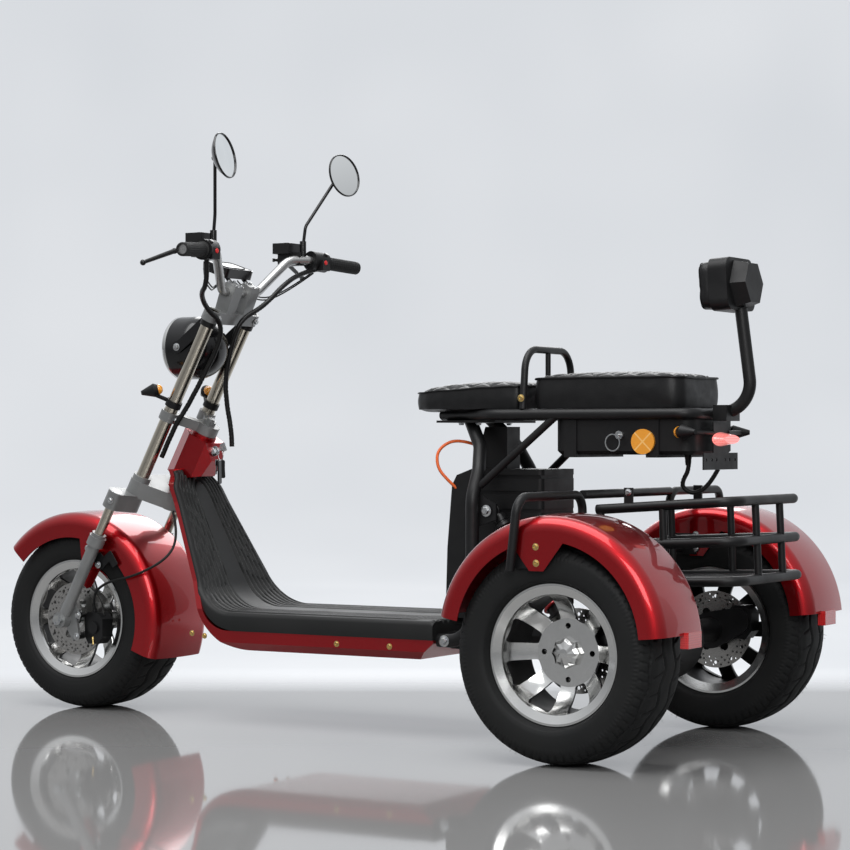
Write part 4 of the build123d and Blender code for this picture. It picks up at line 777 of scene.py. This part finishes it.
def matSheet(look):
    # s runs along the side view (floor, bend, slope), w across; the groove's depth follows the distance
    # from a long oval's middle line, so the grooves are ovals inside one another
    up = unit([look["slope"], 1.0])
    corner = np.array([look["footX"], look["floorZ"]])
    swing = math.atan2(up[1], up[0])
    reach = look["bend"] * math.tan(swing / 2)
    centre = corner + np.array([-reach, look["bend"]])
    floorLength = centre[0] - look["rear"]
    slopeFrom = floorLength + look["bend"] * swing
    total = slopeFrom + (look["top"] - look["floorZ"]) / up[1] - reach
    s = np.linspace(0, total, look["along"])
    turn = np.clip((s - floorLength) / look["bend"], 0, swing)
    normal = np.stack([-np.sin(turn), np.cos(turn)], axis=1)
    line = centre - look["bend"] * normal
    line[:, 0] += np.minimum(s - floorLength, 0)
    line += np.maximum(s - slopeFrom, 0)[:, None] * up
    half = np.where(s < floorLength, look["half"], np.interp(line[:, 1], look["heights"], look["halves"]))
    half = averaged(half, 14)[:, None]
    thick = look["thick"][0] + np.ptp(look["thick"]) * -smoothstep(floorLength - 0.02, slopeFrom + 0.02, s)[:, None]
    width = np.linspace(-1, 1, look["across"])[None, :] * (half - 0.0005)
    fromEdge = half - np.abs(width)
    shoulder = look["corner"] - np.sqrt(look["corner"] ** 2 - np.maximum(look["corner"] - fromEdge, 0) ** 2)
    shoulder = np.minimum(shoulder, thick * 0.6)
    spine = s[:, None] - np.clip(s[:, None], 0.10, total - 0.085)
    spine = np.where(spine > 0, spine * 0.72, spine * 0.8)
    distance = np.sqrt(spine ** 2 + (width * (look["half"] / half) ** 0.75) ** 2) - look["first"]
    inner = fromEdge > 0.016
    rings = np.arange(look["rings"])[:, None, None] * look["pitch"]
    cut = groove(distance[None] - rings, look["groove"]).max(axis=0) * inner
    rib = look["rib"] * np.sin(np.pi * (distance / look["pitch"] % 1)) * inner
    sink = cut * look["depth"] + shoulder + np.where(distance < 0, 0.0012, look["rib"] - rib)
    sink = np.minimum(sink, thick - 0.002)
    ends = smoothstep(0, 0.006, s) * smoothstep(0, 0.01, total - s)
    sink += (1 - ends[:, None]) * 0.003
    top = np.stack([rearX + line[:, :1] - normal[:, :1] * sink, width, line[:, 1:] - normal[:, 1:] * sink], axis=2)
    lower = line - normal * thick
    under = [np.stack([rearX + lower[:, 0], side * (half[:, 0] - 0.0005), lower[:, 1]], axis=1) for side in (1, -1)]
    return np.concatenate([top, np.stack(under, axis=1)], axis=1)


Shape().tube(matSheet(matLook)).make("grooved_floor_mat", "mat", "frame", "black_rubber", "floor_mat", 50)
print("mat made")


# Cables and hoses: round tubes along the smooth lines of their routes
def splineLine(name, points):
    # the points of a quadratic NURBS spline through its ends, read back from a bare curve
    data = bpy.data.curves.new(name, "CURVE")
    data.dimensions = "3D"
    data.resolution_u = 14
    spline = data.splines.new("NURBS")
    spline.points.add(len(points) - 1)
    spline.points.foreach_set("co", np.hstack([np.array(points, float), np.ones((len(points), 1))]).ravel())
    spline.order_u = 3
    spline.use_endpoint_u = True
    holder = bpy.data.objects.new(name, data)
    bpy.context.scene.collection.objects.link(holder)
    line = bpy.data.meshes.new_from_object(holder.evaluated_get(bpy.context.evaluated_depsgraph_get()))
    bpy.data.objects.remove(holder)
    return spotsOf(line)


def wrappedTube(name, route, radius, pitch=0.0, ridge=0.0, sides=14, step=0.003):
    # radius plus a rounded ridge that winds once round the tube in each pitch;
    # the rings' side is carried along the line without twist: side - tangent*(tangent . side)
    line, run = respaced(splineLine(name, route), step=step)
    tangent = unit(np.gradient(line, axis=0))
    side = np.empty_like(line)
    side[0] = unit(np.cross(tangent[0], upward if abs(tangent[0, 2]) < 0.8 else ahead))
    for index in range(1, len(line)):
        side[index] = unit(side[index - 1] - tangent[index] * np.dot(side[index - 1], tangent[index]))
    angle = np.linspace(0, 2 * np.pi, sides, endpoint=False)
    size = np.full((len(line), sides), float(radius))
    if pitch:
        phase = (run[:, None] / pitch - angle[None, :] / (2 * np.pi)) % 1
        size += ridge * (np.minimum(1, 2.2 * np.sin(np.pi * phase)) - 1)
    return ringsAlong(line, side, np.cross(tangent, side), size[..., None], angle)


cableLook = {"radius": 0.0061, "pitch": 0.0085, "ridge": 0.0011, "hose": 0.0032, "lead": 0.0035, "harness": 0.005}
loomRoutes = (
    [
        onGrip(0.026, 1) + (0.004, 0, -0.020), onGrip(0.018, 1) + (0.006, 0, -0.080),
        fork(0.044, 0.190, 0.900), fork(0.044, 0.140, 0.862), fork(0.030, 0.084, 0.838), fork(0.024, 0.062, 0.790),
        fork(0.026, 0.066, 0.700), fork(0.030, 0.074, 0.600), fork(0.034, 0.084, 0.560), fork(0.038, 0.076, 0.470),
    ],
    [
        onGrip(0.024, -1) + (-0.004, 0, -0.020), barPoint(-0.060, -0.190, 0.058), barPoint(-0.056, -0.120, 0.030),
        fork(0.030, -0.062, 0.886), fork(0.034, 0.002, 0.846), fork(0.030, 0.004, 0.790), fork(0.014, -0.004, 0.700),
        fork(-0.016, -0.014, 0.640), fork(-0.052, -0.022, 0.590), fork(-0.070, -0.024, 0.556),
    ],
)
looms = Shape()
for route in loomRoutes:
    looms.tube(wrappedTube("loom", route, cableLook["radius"], cableLook["pitch"], cableLook["ridge"]))
looms.make("spiral_wrapped_looms", "hose", "steering", "black_rubber", "control_cables", 60)

hoseRoute = [
    frontHub + p for p in ((-0.068, 0.096, 0.016), (-0.074, 0.118, 0.060), (-0.130, 0.134, 0.096),
                           (-0.215, 0.126, 0.112), (-0.286, 0.084, 0.158), (-0.282, 0.048, 0.216))
] + [fork(-0.024, 0.030, 0.352)]
hose = Shape().tube(wrappedTube("hose", hoseRoute, cableLook["hose"], sides=12))
fitting = hoseRoute[1] - hoseRoute[0]
for along, r, long in ((0.0, 0.0055, 0.012), (0.012, 0.0046, 0.014)):
    profile = [(0, 0), (r, 0), (r, long * 0.9), (r * 0.8, long), (0, long)]
    hose.lathe(profile, hoseRoute[0] + unit(fitting) * along, fitting, 16)
hose.make("front_hose", "hose", "steering", "black_rubber", "front_brake_hose", 50)

leadRoute = [chassis(*p) for p in ((0.402, 0.026, 0.642), (0.446, 0.058, 0.666), (0.484, 0.092, 0.642),
                                   (0.480, 0.102, 0.600), (0.456, 0.094, 0.570), (0.436, 0.080, 0.548))]
lead = Shape().tube(wrappedTube("lead", leadRoute, cableLook["lead"], sides=12))
lead.make("battery_lead", "orange", "frame", "orange_lead", "battery_cable", 50)

harnessRoute = [chassis(*p) for p in ((-0.098, 0.020, 0.630), (-0.102, 0.020, 0.600), (-0.084, 0.020, 0.572),
                                      (-0.084, 0.016, 0.556), (-0.106, 0.010, 0.544), (-0.138, 0.004, 0.560),
                                      (-0.159, 0.0, 0.598))]
harness = Shape().tube(wrappedTube("harness", harnessRoute, cableLook["harness"], 0.007, 0.0009, 12, 0.0022))
boot = [(0, 0), (0.008, 0), (0.008, 0.006), (0.0068, 0.012), (0.0068, 0.016), (0.0058, 0.024), (0, 0.024)]
harness.lathe(boot, harnessRoute[0], -upward, 16)
harness.make("tail_loom", "hose", "frame", "black_rubber", "tail_harness", 50)
print("cables made")


# Rear shocks: eyes, damper body, spring seats and a round-wire coil
shockLook = {
    "turns": 9.5, "wire": 0.0036, "coil": 0.0179, "from": 0.050, "to": 0.2715, "apart": 0.104, "bunched": 0.035,
}
shockFoot, shockHead = chassis(0.150, 0, 0.244), chassis(0.330, 0, 0.505)
shockUp = unit(shockHead - shockFoot)
shockLength = float(np.linalg.norm(shockHead - shockFoot))
damper = [(0, 0.012), (0.006, 0.012), (0.0095, 0.016), (0.0095, 0.026), (0.014, 0.027), (0.014, 0.112),
          (0.0125, 0.119), (0.006, 0.120), (0, 0.120)]
rod = [(0, 0.118), (0.006, 0.118), (0.006, 0.300), (0, 0.300)]
springSeat = [(0.0062, 0), (0.0205, 0), (0.0218, 0.0012), (0.0218, 0.0068), (0.0205, 0.008), (0.0062, 0.008)]
collar = [(0.0062, 0), (0.0158, 0), (0.0158, 0.004), (0.0145, 0.005), (0.0158, 0.006), (0.0158, 0.018),
          (0.013, 0.023), (0.0062, 0.023)]
eye = [(0.0072, -0.0074), (0.0125, -0.0074), (0.0138, -0.006), (0.0138, 0.006), (0.0125, 0.0074), (0.0072, 0.0074)]
shockBodies, shockCoils = Shape(), Shape()
for side in (-1, 1):
    base = shockFoot + leftward * side * shockLook["apart"]
    for profile, at, steps in (
        (damper, 0, 32), (rod, 0, 20), (springSeat, 0.040, 40), (springSeat, shockLength - 0.044, 40),
        (collar, shockLength - 0.036, 32),
    ):
        shockBodies.lathe(profile, base + shockUp * at, shockUp, steps)
    for end in (0.0, shockLength):
        shockBodies.lathe(eye, base + shockUp * end, leftward, 32)
    # helix: p = base + rise*up + coil*(cos, sin); its last turns lie close together
    turn = np.linspace(0, 1, 620)
    rise = turn - shockLook["bunched"] * np.sin(2 * np.pi * turn)
    spread = shockLook["to"] - shockLook["from"] - 2 * shockLook["wire"]
    helixSide = unit(np.cross(shockUp, leftward))
    angle = turn[:, None] * shockLook["turns"] * 2 * np.pi
    outward = np.cos(angle) * helixSide + np.sin(angle) * np.cross(shockUp, helixSide)
    height = shockLook["from"] + shockLook["wire"] + spread * rise
    line = base + shockUp * height[:, None] + shockLook["coil"] * outward
    around = np.linspace(0, 2 * np.pi, 12, endpoint=False)
    across = np.cross(unit(np.gradient(line, axis=0)), outward)
    shockCoils.tube(ringsAlong(line, outward, across, shockLook["wire"], around))
shockBodies.make("shock_dampers", "darkMetal", "frame", "black_cast", "rear_shocks", 35)
shockCoils.make("shock_coils", "redSpring", "frame", "red_paint", sharp=60)
print("shocks made")


# Grips: a flange, then rows of small raised pads: radius + rise*(in a pad along)*(in a pad round)
gripLook = {"pads": 16, "rows": 15, "rise": 0.0009, "bore": 0.01115, "from": 0.059, "to": 0.172}
grips = Shape()
for side in (-1, 1):
    begin, end = onGrip(gripLook["from"], side), onGrip(gripLook["to"], side)
    axis, long = unit(end - begin), float(np.linalg.norm(end - begin))
    s = np.concatenate([
        [0, 0.0001, 0.0008, 0.005, 0.006], np.linspace(0.0075, long - 0.007, 118), [long - 0.003, long - 0.001, long],
    ])
    r = np.concatenate([[0.0112, 0.0186, 0.0194, 0.0194, 0.0168], np.full(118, 0.0152), [0.0160, 0.0152, 0.0112]])
    angle = np.linspace(0, 2 * np.pi, 128, endpoint=False)
    rowPhase = np.abs(((s - 0.008) / (long - 0.016) * gripLook["rows"]) % 1 - 0.5)
    padPhase = np.abs((angle / (2 * np.pi) * gripLook["pads"]) % 1 - 0.5)
    raised = smoothstep(0.1, 0.2, 0.5 - rowPhase)[:, None] * smoothstep(0.08, 0.16, 0.5 - padPhase)[None, :]
    inside = ((s > 0.0075) & (s < long - 0.007))[:, None]
    size = r[:, None] + raised * inside * gripLook["rise"]
    sideways = unit(np.cross(axis, upward))[None]
    other = np.cross(axis, sideways)
    grips.grid(ringsAlong(begin + s[:, None] * axis, sideways, other, size[..., None], angle), closeColumns=True)
    bore = begin + np.array([[long], [0]]) * axis
    grips.grid(ringsAlong(bore, sideways, other, gripLook["bore"], angle), closeColumns=True)
grips.make("rubber_grips", "mat", "steering", "black_rubber", "grips", 50)
print("grips made")


# Fender hoops: bent bars over the fenders, their brackets behind the fender walls, and the bar between them
hoopLook = {"radius": 0.0095, "bend": 0.034, "foot": 0.5005, "inner": 0.215, "top": 0.545, "bracket": 0.0024}
hoops = Shape()
for side in (-1, 1):
    footY, innerY = side * hoopLook["foot"], side * hoopLook["inner"]
    route = [chassis(0.075, footY, 0.397), chassis(0.057, footY, hoopLook["top"]),
             chassis(0.057, innerY, hoopLook["top"]), chassis(0.057, innerY, 0.380)]
    hoops.tube(barGrid(bentRoute(route, hoopLook["bend"]), hoopLook["radius"]))
    for wallY, low, high in ((0.4867, 0.401, 0.447), (0.2795, 0.400, 0.448)):
        outline = roundedOutline(rectangle(0.028, low, high), 0.004)
        hoops.tube(plate(outline, chassis(0.047, side * wallY, 0), ahead, upward, hoopLook["bracket"]))
    for high in (0.410, 0.436):
        tie = np.array([chassis(0.057, side * y, high) for y in (0.2165, 0.2475, 0.2785)])
        hoops.tube(barGrid(tie, 0.005, 10))
bar = np.array([chassis(0.057, y, hoopLook["top"]) for y in (-hoopLook["inner"], 0.0, hoopLook["inner"])])
hoops.tube(barGrid(bar, hoopLook["radius"]))
hoops.make("fender_hoop_bars", "powder", "frame", "black_paint", "fender_hoops", 45)


# Fasteners, gathered by finish and body: spot, axis, radius, height, and whether the head is a socket
zincFrame, brassFrame, zincFork, brassFork = Shape(), Shape(), Shape(), Shape()
for side in (-1, 1):
    outward = leftward * side
    for x, z in ((0.021, 0.446), (0.020, 0.413)):
        bolt(brassFrame, chassis(x, side * 0.4912, z), outward, 0.0048, 0.0035, True)
        bolt(zincFrame, chassis(x, side * 0.2788, z), -outward, 0.0048, 0.0035)
    for x, z in ((1.102, 0.2085), (1.066, 0.2035), (0.70, 0.200), (0.56, 0.200)):
        bolt(brassFrame, chassis(x, side * 0.1742, z), outward, 0.0046, 0.003, True)
    for x, y, z, radius, height in (
        (0.330, 0.1442, 0.505, 0.0085, 0.006), (0.150, 0.1195, 0.244, 0.008, 0.006),
        (0.425, 0.1642, 0.217, 0.0085, 0.006), (-0.032, 0.1776, 0.5505, 0.005, 0.004),
    ):
        bolt(zincFrame, chassis(x, side * y, z), outward, radius, height)
    bolt(brassFrame, chassis(0.2525, side * 0.1262, 0.752), outward, 0.0055, 0.003, True)
    for x in (0.435, 0.39):
        bolt(zincFrame, chassis(x, side * 0.07, 0.6985), -upward, 0.0055, 0.004)
    for lead, y in ((0.0545, 0.0235), (0.0545, 0.0445), (0.0795, 0.0235), (0.0795, 0.0445)):
        bolt(zincFork, fork(lead, side * y, 0.9212), axisUp, 0.0038, 0.003, True)
    bolt(zincFork, fork(0.0438, side * 0.077, 0.838), -axisFront, 0.006, 0.0045)
    bolt(zincFork, fork(0.0445, side * 0.077, 0.568), -axisFront, 0.005, 0.004)
    bolt(zincFork, fork(0.070, side * 0.1586, 0.335), outward, 0.0055, 0.0035, True)
    bolt(zincFork, fork(0.1188, side * 0.0832, 0.726), outward, 0.0062, 0.005)
for x, z in ((-0.040, 0.012), (-0.036, -0.040)):
    bolt(zincFork, frontHub + (x, 0.1276, z), leftward, 0.0062, 0.005)
for lead, height in ((0.099, 0.186), (0.053, 0.166)):
    bolt(zincFork, fork(lead, 0.1236, height), leftward, 0.0058, 0.005)
nipple = [(0, 0), (0.0032, 0), (0.0032, 0.006), (0.0018, 0.007), (0.0018, 0.014), (0.0026, 0.015), (0.0026, 0.019),
          (0, 0.0195)]
brassFork.lathe(nipple, frontHub + (-0.066, 0.103, -0.043), (-0.35, 0.35, -0.8), 14)
zincFrame.make("frame_bolts", "zinc", "frame", "lock_steel", sharp=30)
brassFrame.make("brass_bolts", "brass", "frame", "lock_steel", sharp=30)
zincFork.make("fork_bolts", "zinc", "steering", "lock_steel", sharp=30)
brassFork.make("bleed_nipple", "brass", "steering", "lock_steel", sharp=30)

# Black brackets behind the sliders that hold the fender
stay = Shape()
stayOutline = roundedOutline([
    (0.106, 0.176), (0.106, 0.196), (0.086, 0.199), (0.050, 0.190), (0.040, 0.214), (0.004, 0.196),
    (0.013, 0.180), (0.030, 0.188), (0.042, 0.158), (0.064, 0.158), (0.086, 0.176),
], 0.003)
for side in (-1, 1):
    stay.tube(plate(stayOutline, fork(0, side * 0.1210 - 0.0012, 0), axisFront, axisUp, 0.0024))
stay.make("fender_stays", "powder", "steering", "black_paint", sharp=45)
print("fasteners made")


# Mirrors: a slightly domed glass in each bowl with a rolled rim, glass height = dome*(1 - share^2)
mirrorLook = {"glass": 0.0505, "dome": 0.0016}
mirrorRim = [(0.0502, 0.0), (0.0502, 0.0022), (0.0512, 0.0034), (0.0526, 0.0034), (0.0535, 0.0022), (0.0535, -0.001),
             (0.0515, -0.001)]
for name, side in (("left", 1), ("right", -1)):
    look = unit([-1, -side * 0.17, 0.2])
    centre = barPoint(-0.138, side * 0.253, 0.297)
    share = np.linspace(0, 1, 10)
    face = list(zip(mirrorLook["glass"] * share, 0.0006 + mirrorLook["dome"] * (1 - share ** 2)))
    glass = Shape().lathe(face + [(mirrorLook["glass"], 0.0001), (0, 0.0001)], centre, look, 72)
    glass.make(name + "_mirror_glass", "mirrorGlass", "steering", "polished_alloy", sharp=60)
    ring = Shape().lathe(mirrorRim, centre, look, 72)
    ring.make(name + "_mirror_rim", "gloss", "steering", "black_plastic", sharp=50)

# Headlight lens with nine rings of prisms, and its bright trim
lampLook = {"radius": 0.066, "front": 0.0455, "dome": 0.0085, "prism": 0.0004, "rings": 9}
lampCentre = fork(0.1188, 0, 0.726)
share = np.linspace(0, 1, 60)
lensRise = lampLook["dome"] * (1 - share ** 2) + lampLook["prism"] * np.cos(share * 2 * np.pi * lampLook["rings"])
lens = list(zip(lampLook["radius"] * share, lampLook["front"] + lensRise)) + [(lampLook["radius"], 0.044), (0, 0.044)]
lensShape = Shape().lathe(lens, lampCentre, ahead, 96)
lensShape.make("headlight_lens", "clearLens", "steering", "lamp_amber", sharp=60)
trim = [(0.0655, 0.043), (0.0655, 0.049), (0.068, 0.052), (0.072, 0.052), (0.0755, 0.047), (0.0755, 0.040),
        (0.0655, 0.040)]
Shape().lathe(trim, lampCentre, ahead, 96).make("headlight_ring", "alloy", "steering", "polished_alloy")

# Display: a grey face and its dark glass, each a rounded plate on the housing
displayUp = unit([-0.35, 0, 1])
for name, finish, halfX, halfY, low, thick in (
    ("display_face", "greyFace", 0.0345, 0.0565, 0.0222, 0.0012),
    ("display_glass", "gloss", 0.024, 0.040, 0.0234, 0.0008),
):
    outline = roundedOutline(rectangle(halfX, -halfY, halfY), halfX * 0.4, 8)
    origin = fork(0.123, 0, 0.922) + displayUp * low
    sheet = Shape().tube(plate(outline, origin, np.cross(leftward, displayUp), leftward, -thick))
    sheet.make(name, finish, "steering", "black_plastic")

# Switches: red and black buttons on the pods, an adjuster and a reservoir cap on each lever
redButtons, blackButtons = Shape(), Shape()
button = [(0, 0), (0.0062, 0), (0.0062, 0.004), (0.0052, 0.0055), (0, 0.006)]
adjuster = [(0, 0), (0.0052, 0), (0.0052, 0.006), (0.0036, 0.007), (0.0036, 0.012), (0.0048, 0.013),
            (0.0048, 0.018), (0, 0.018)]
reservoirCap = [(0, 0), (0.0105, 0), (0.0105, 0.0016), (0.0095, 0.0022), (0, 0.0022)]
for side in (-1, 1):
    base, lever = onGrip(0.030, side), barPoint(-0.052, side * 0.180, 0.086)
    redButtons.lathe(button, base + (-0.0235, 0, -0.004), (-1, 0, 0.1), 20)
    blackButtons.lathe(button, base + (-0.019, side * 0.013, 0.015), (-0.6, 0, 0.8), 20)
    blackButtons.lathe(adjuster, lever + (0.058, side * 0.004, 0.004), (0.7, -side * 0.7, 0), 16)
    blackButtons.lathe(reservoirCap, lever + (0.034, 0, 0.0432), upward, 24)
redButtons.make("red_buttons", "redButton", "steering", "red_paint")
blackButtons.make("black_buttons", "gloss", "steering", "black_plastic")

# Amber lenses of the turn signals
amberFront, amberRear = Shape(), Shape()
drop = [(0, 0), (0.0125, 0), (0.0125, 0.001), (0.0105, 0.006), (0.006, 0.0095), (0, 0.0105)]
for side in (-1, 1):
    frontAxis, rearAxis = unit([0.8, side * 0.5, -0.2]), unit([-1, side * 0.35, 0])
    amberFront.lathe(drop, fork(0.122, side * 0.116, 0.603) - frontAxis * 0.0262, -frontAxis, 28)
    amberRear.lathe(drop, chassis(-0.154, side * 0.136, 0.677) - rearAxis * 0.0302, -rearAxis, 28)
amberFront.make("front_amber_lenses", "amber", "steering", "lamp_amber", sharp=50)
amberRear.make("rear_amber_lenses", "amber", "frame", "lamp_amber", sharp=50)

# Ignition lock with its ring, two keys and two fobs
ringLook = {"radius": 0.0122, "wire": 0.0009}
fobLook = ((-0.005, 0.044, 0.0055, 0.25), (0.008, 0.058, 0.0078, -0.2))
lockAt = fork(-0.046, 0.010, 0.528)
lockOut = unit(axisUp - axisFront * 0.9)
lockSteel, lockFobs = Shape(), Shape()
barrel = [(0, 0), (0.012, 0), (0.012, 0.011), (0.0108, 0.014), (0.0065, 0.014), (0.006, 0.012), (0, 0.012)]
lockSteel.lathe(barrel, lockAt, lockOut, 36)
blade = roundedOutline([
    (-0.0045, 0.0), (0.0045, 0.0), (0.0045, 0.014), (0.0105, 0.017), (0.0105, 0.031), (-0.0105, 0.031),
    (-0.0105, 0.017), (-0.0045, 0.014),
], 0.0015, 3)
bladeFrom = lockAt + lockOut * 0.012 - leftward * 0.001
lockSteel.tube(plate(blade, bladeFrom, np.cross(lockOut, leftward), lockOut, 0.002, 0.0004))
ringCentre = lockAt + lockOut * 0.027 - upward * 0.016
wireTurn = np.arange(8) * np.pi / 4
wire = list(zip(ringLook["radius"] + ringLook["wire"] * np.cos(wireTurn), ringLook["wire"] * np.sin(wireTurn)))
lockSteel.lathe(wire, ringCentre, (0.5, 1, 0), 40)
bow = roundedOutline([
    (-0.006, 0.002), (0.006, 0.002), (0.006, -0.010), (0.0022, -0.013), (0.0022, -0.034), (-0.0022, -0.034),
    (-0.0022, -0.013), (-0.006, -0.010),
], 0.001, 3)
for y, hangs, half, twist in fobLook:
    fob = roundedOutline([(-half, 0), (half, 0), (half * 1.1, -hangs), (-half * 1.1, -hangs)], half * 0.6, 6)
    origin = ringCentre + (-0.004, y, -0.0118)
    lockFobs.tube(plate(fob, origin, (math.sin(twist), math.cos(twist), 0), (0.02, 0, 1), 0.0042, 0.0012))
    lockSteel.tube(plate(bow, origin + (0.006, 0.004, -0.001), leftward, (-0.08, 0, 1), 0.0016, 0.0004))
lockSteel.make("ignition_lock_and_keys", "zinc", "frame", "lock_steel", "ignition_lock", 35)
lockFobs.make("key_fobs", "gloss", "frame", "black_plastic", sharp=35)

# Thin wires at the bar, from the switches to the display
wires = Shape()
for side in (-1, 1):
    loop = [
        onGrip(0.03, side) + (0.006, 0, -0.022), onGrip(0.0, side) + (0.03, -side * 0.01, -0.060),
        barPoint(0.0, side * 0.11, -0.004 + 0.01 * side), barPoint(0.028, side * 0.062, 0.012),
        fork(0.108, side * 0.03, 0.915),
    ]
    for shift in (0.0, 0.006):
        route = [p + (shift * 0.5, 0, -shift) for p in loop]
        wires.tube(wrappedTube("wire", route, 0.0018, sides=8, step=0.006))
wires.make("switch_wires", "hose", "steering", "black_rubber", sharp=60)
print("controls made")


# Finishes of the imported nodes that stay
nodeFinishes = {
    "frontRim": ["front_rim"],
    "leftRim": ["rear_left_rim"],
    "rightRim": ["rear_right_rim"],
    "frontDisc": ["front_brake_disc"],
    "leftDisc": ["rear_left_brake_disc"],
    "rightDisc": ["rear_right_brake_disc"],
    "cast": ["lower_crown", "mid_crown", "top_crown", "fork_sliders"],
    "tube": ["fork_tubes", "fork_stanchions"],
    "brushed": ["handlebar"],
    "candy": ["neck", "leg_shield", "front_fender", "rear_left_fender", "rear_right_fender"],
    "powder": [
        "main_frame", "seat_rails", "grab_hoop", "rear_basket", "rear_axle", "swing_arm", "backrest_post",
        "headlight_bracket",
    ],
    "plastic": [
        "switch_pods", "battery_cover", "battery_case", "under_seat_box", "plate_bracket", "front_turn_signals",
        "rear_turn_signals", "backrest_shell",
    ],
    "gloss": ["left_mirror", "right_mirror", "display", "headlight"],
    "darkMetal": ["front_brake_caliper", "rear_brake_calipers", "brake_levers"],
    "zinc": ["front_axle", "box_lock"],
    "redLamp": ["tail_light"],
    "reflector": ["reflectors"],
}
for finish, names in nodeFinishes.items():
    for name in names:
        for materialSlot in frame["nodes"][name].material_slots:
            materialSlot.material = finishes[finish]
print("frame finished")


# Room: a grey floor, past one line pale like the backdrop that it rises into
roomLook = {
    "reach": 16.0, "bend": 3.0, "wall": 9.0, "back": 5.5, "line": 6.5, "fade": 0.7,
    "floor": (0.30, 0.30, 0.298), "far": (0.83, 0.845, 0.87), "paintedFoldShades": ((0.64, 0.665, 0.70), (0.71, 0.73, 0.76)),
}
lookFlat = unit([cameraPlace["look"][0], cameraPlace["look"][1], 0.0])


def paleRoom(look):
    # glossy near the object; past the line matt, and shown to the camera and to gloss as emission at an even level,
    # with painted light and shade of the folded backdrop cloth laid over it
    f = Finish("paleRoom", look["far"], 0.3, Emission_Strength=1.0)
    fromSpot = f.place(centre=chassis(*cameraPlace["spot"]))
    reach = f.node("VectorMath", {"operation": "DOT_PRODUCT"}, {0: fromSpot, 1: tuple(lookFlat)}, 1)
    line = {"Value": reach, "From Min": look["line"], "From Max": look["line"] + look["fade"]}
    far = f.node("MapRange", None, line)
    shown = far * (f.node("LightPath") + f.node("LightPath", out=3))
    # painted light and shade of the folded backdrop cloth: noise between a lighter and a darker pale tone, emitted past
    # the line
    paintedFoldShades = f.mix(f.spread(f.noise(0.55, 2.0), 0.0, 1.0), *look["paintedFoldShades"])
    f.set("Base Color", f.mix(shown, f.mix(far, look["floor"], look["far"]), (0.03, 0.03, 0.03)))
    f.set("Emission Color", f.mix(shown, (0.0, 0.0, 0.0), paintedFoldShades))
    f.set("Roughness", far * 0.6 + f.spread(f.noise(0.9, 3.0), 0.03, 0.08))
    return f.material


def roomSheet(look):
    # a profile run sideways: flat, then a quarter circle of radius bend, then up, behind the object
    across = np.array([-lookFlat[1], lookFlat[0], 0.0])
    quarter = np.linspace(0, math.pi / 2, 24)
    wall = look["back"] + look["bend"]
    along = np.concatenate([[-look["reach"]], look["back"] + look["bend"] * np.sin(quarter), [wall]])
    height = np.concatenate([[0.0], look["bend"] * (1 - np.cos(quarter)), [look["wall"]]])
    sideways = np.linspace(-look["reach"], look["reach"], 3)
    points = along[:, None, None] * lookFlat + sideways[None, :, None] * across + height[:, None, None] * upward
    mesh = bpy.data.meshes.new("room")
    mesh.from_pydata(points.reshape(-1, 3).tolist(), [], gridFaces(len(along), 3)[:, ::-1].tolist())
    mesh.polygons.foreach_set("use_smooth", np.full(len(mesh.polygons), True))
    mesh.materials.append(paleRoom(look))
    room = bpy.data.objects.new("room", mesh)
    bpy.context.scene.collection.objects.link(room)


roomSheet(roomLook)

# World: full strength to the camera; gloss sees more of it than matt surfaces do, and less of it low down
world = bpy.data.worlds.new("studio")
world.use_nodes = True
bpy.context.scene.world = world
tree = world.node_tree
tree.nodes.clear()
lightPath = tree.nodes.new("ShaderNodeLightPath")
cameraSeen, glossSeen, glassSeen = (
    Wire(tree, lightPath.outputs[name]) for name in ("Is Camera Ray", "Is Glossy Ray", "Is Transmission Ray")
)
direction, parts = tree.nodes.new("ShaderNodeTexCoord"), tree.nodes.new("ShaderNodeSeparateXYZ")
tree.links.new(direction.outputs[0], parts.inputs[0])
skyShare = (Wire(tree, parts.outputs[2]) * 0.9 + 0.35).atLeast(0.12).atMost(1.0)
strength = cameraSeen + (1 - cameraSeen) * (skyShare * ((cameraSeen + glossSeen + glassSeen) * 0.5 + 0.4))
soft = tree.nodes.new("ShaderNodeBackground")
soft.inputs[0].default_value = (0.95, 0.97, 1.0, 1)
tree.links.new(strength.socket, soft.inputs[1])
tree.links.new(soft.outputs[0], tree.nodes.new("ShaderNodeOutputWorld").inputs[0])

lamps = {
    "overhead": {"spot": (0.0, 1.2, 4.2), "aim": (0.0, 0.0, 0.4), "size": 3.4, "power": 150.0},
    "cameraSide": {"spot": (-2.8, 4.0, 2.6), "aim": (0.0, 0.0, 0.5), "size": 2.2, "power": 90.0},
    "behind": {"spot": (1.6, -3.6, 3.0), "aim": (0.0, 0.0, 0.5), "size": 2.6, "power": 70.0},
}
for name, lamp in lamps.items():
    data = bpy.data.lights.new(name, "AREA")
    data.shape = "SQUARE"
    data.size = lamp["size"]
    data.energy = lamp["power"]
    holder = bpy.data.objects.new(name, data)
    bpy.context.scene.collection.objects.link(holder)
    holder.location = lamp["spot"]
    holder.rotation_euler = (Vector(lamp["aim"]) - Vector(lamp["spot"])).to_track_quat("-Z", "Y").to_euler()

bpy.context.scene.view_settings.view_transform = "Standard"
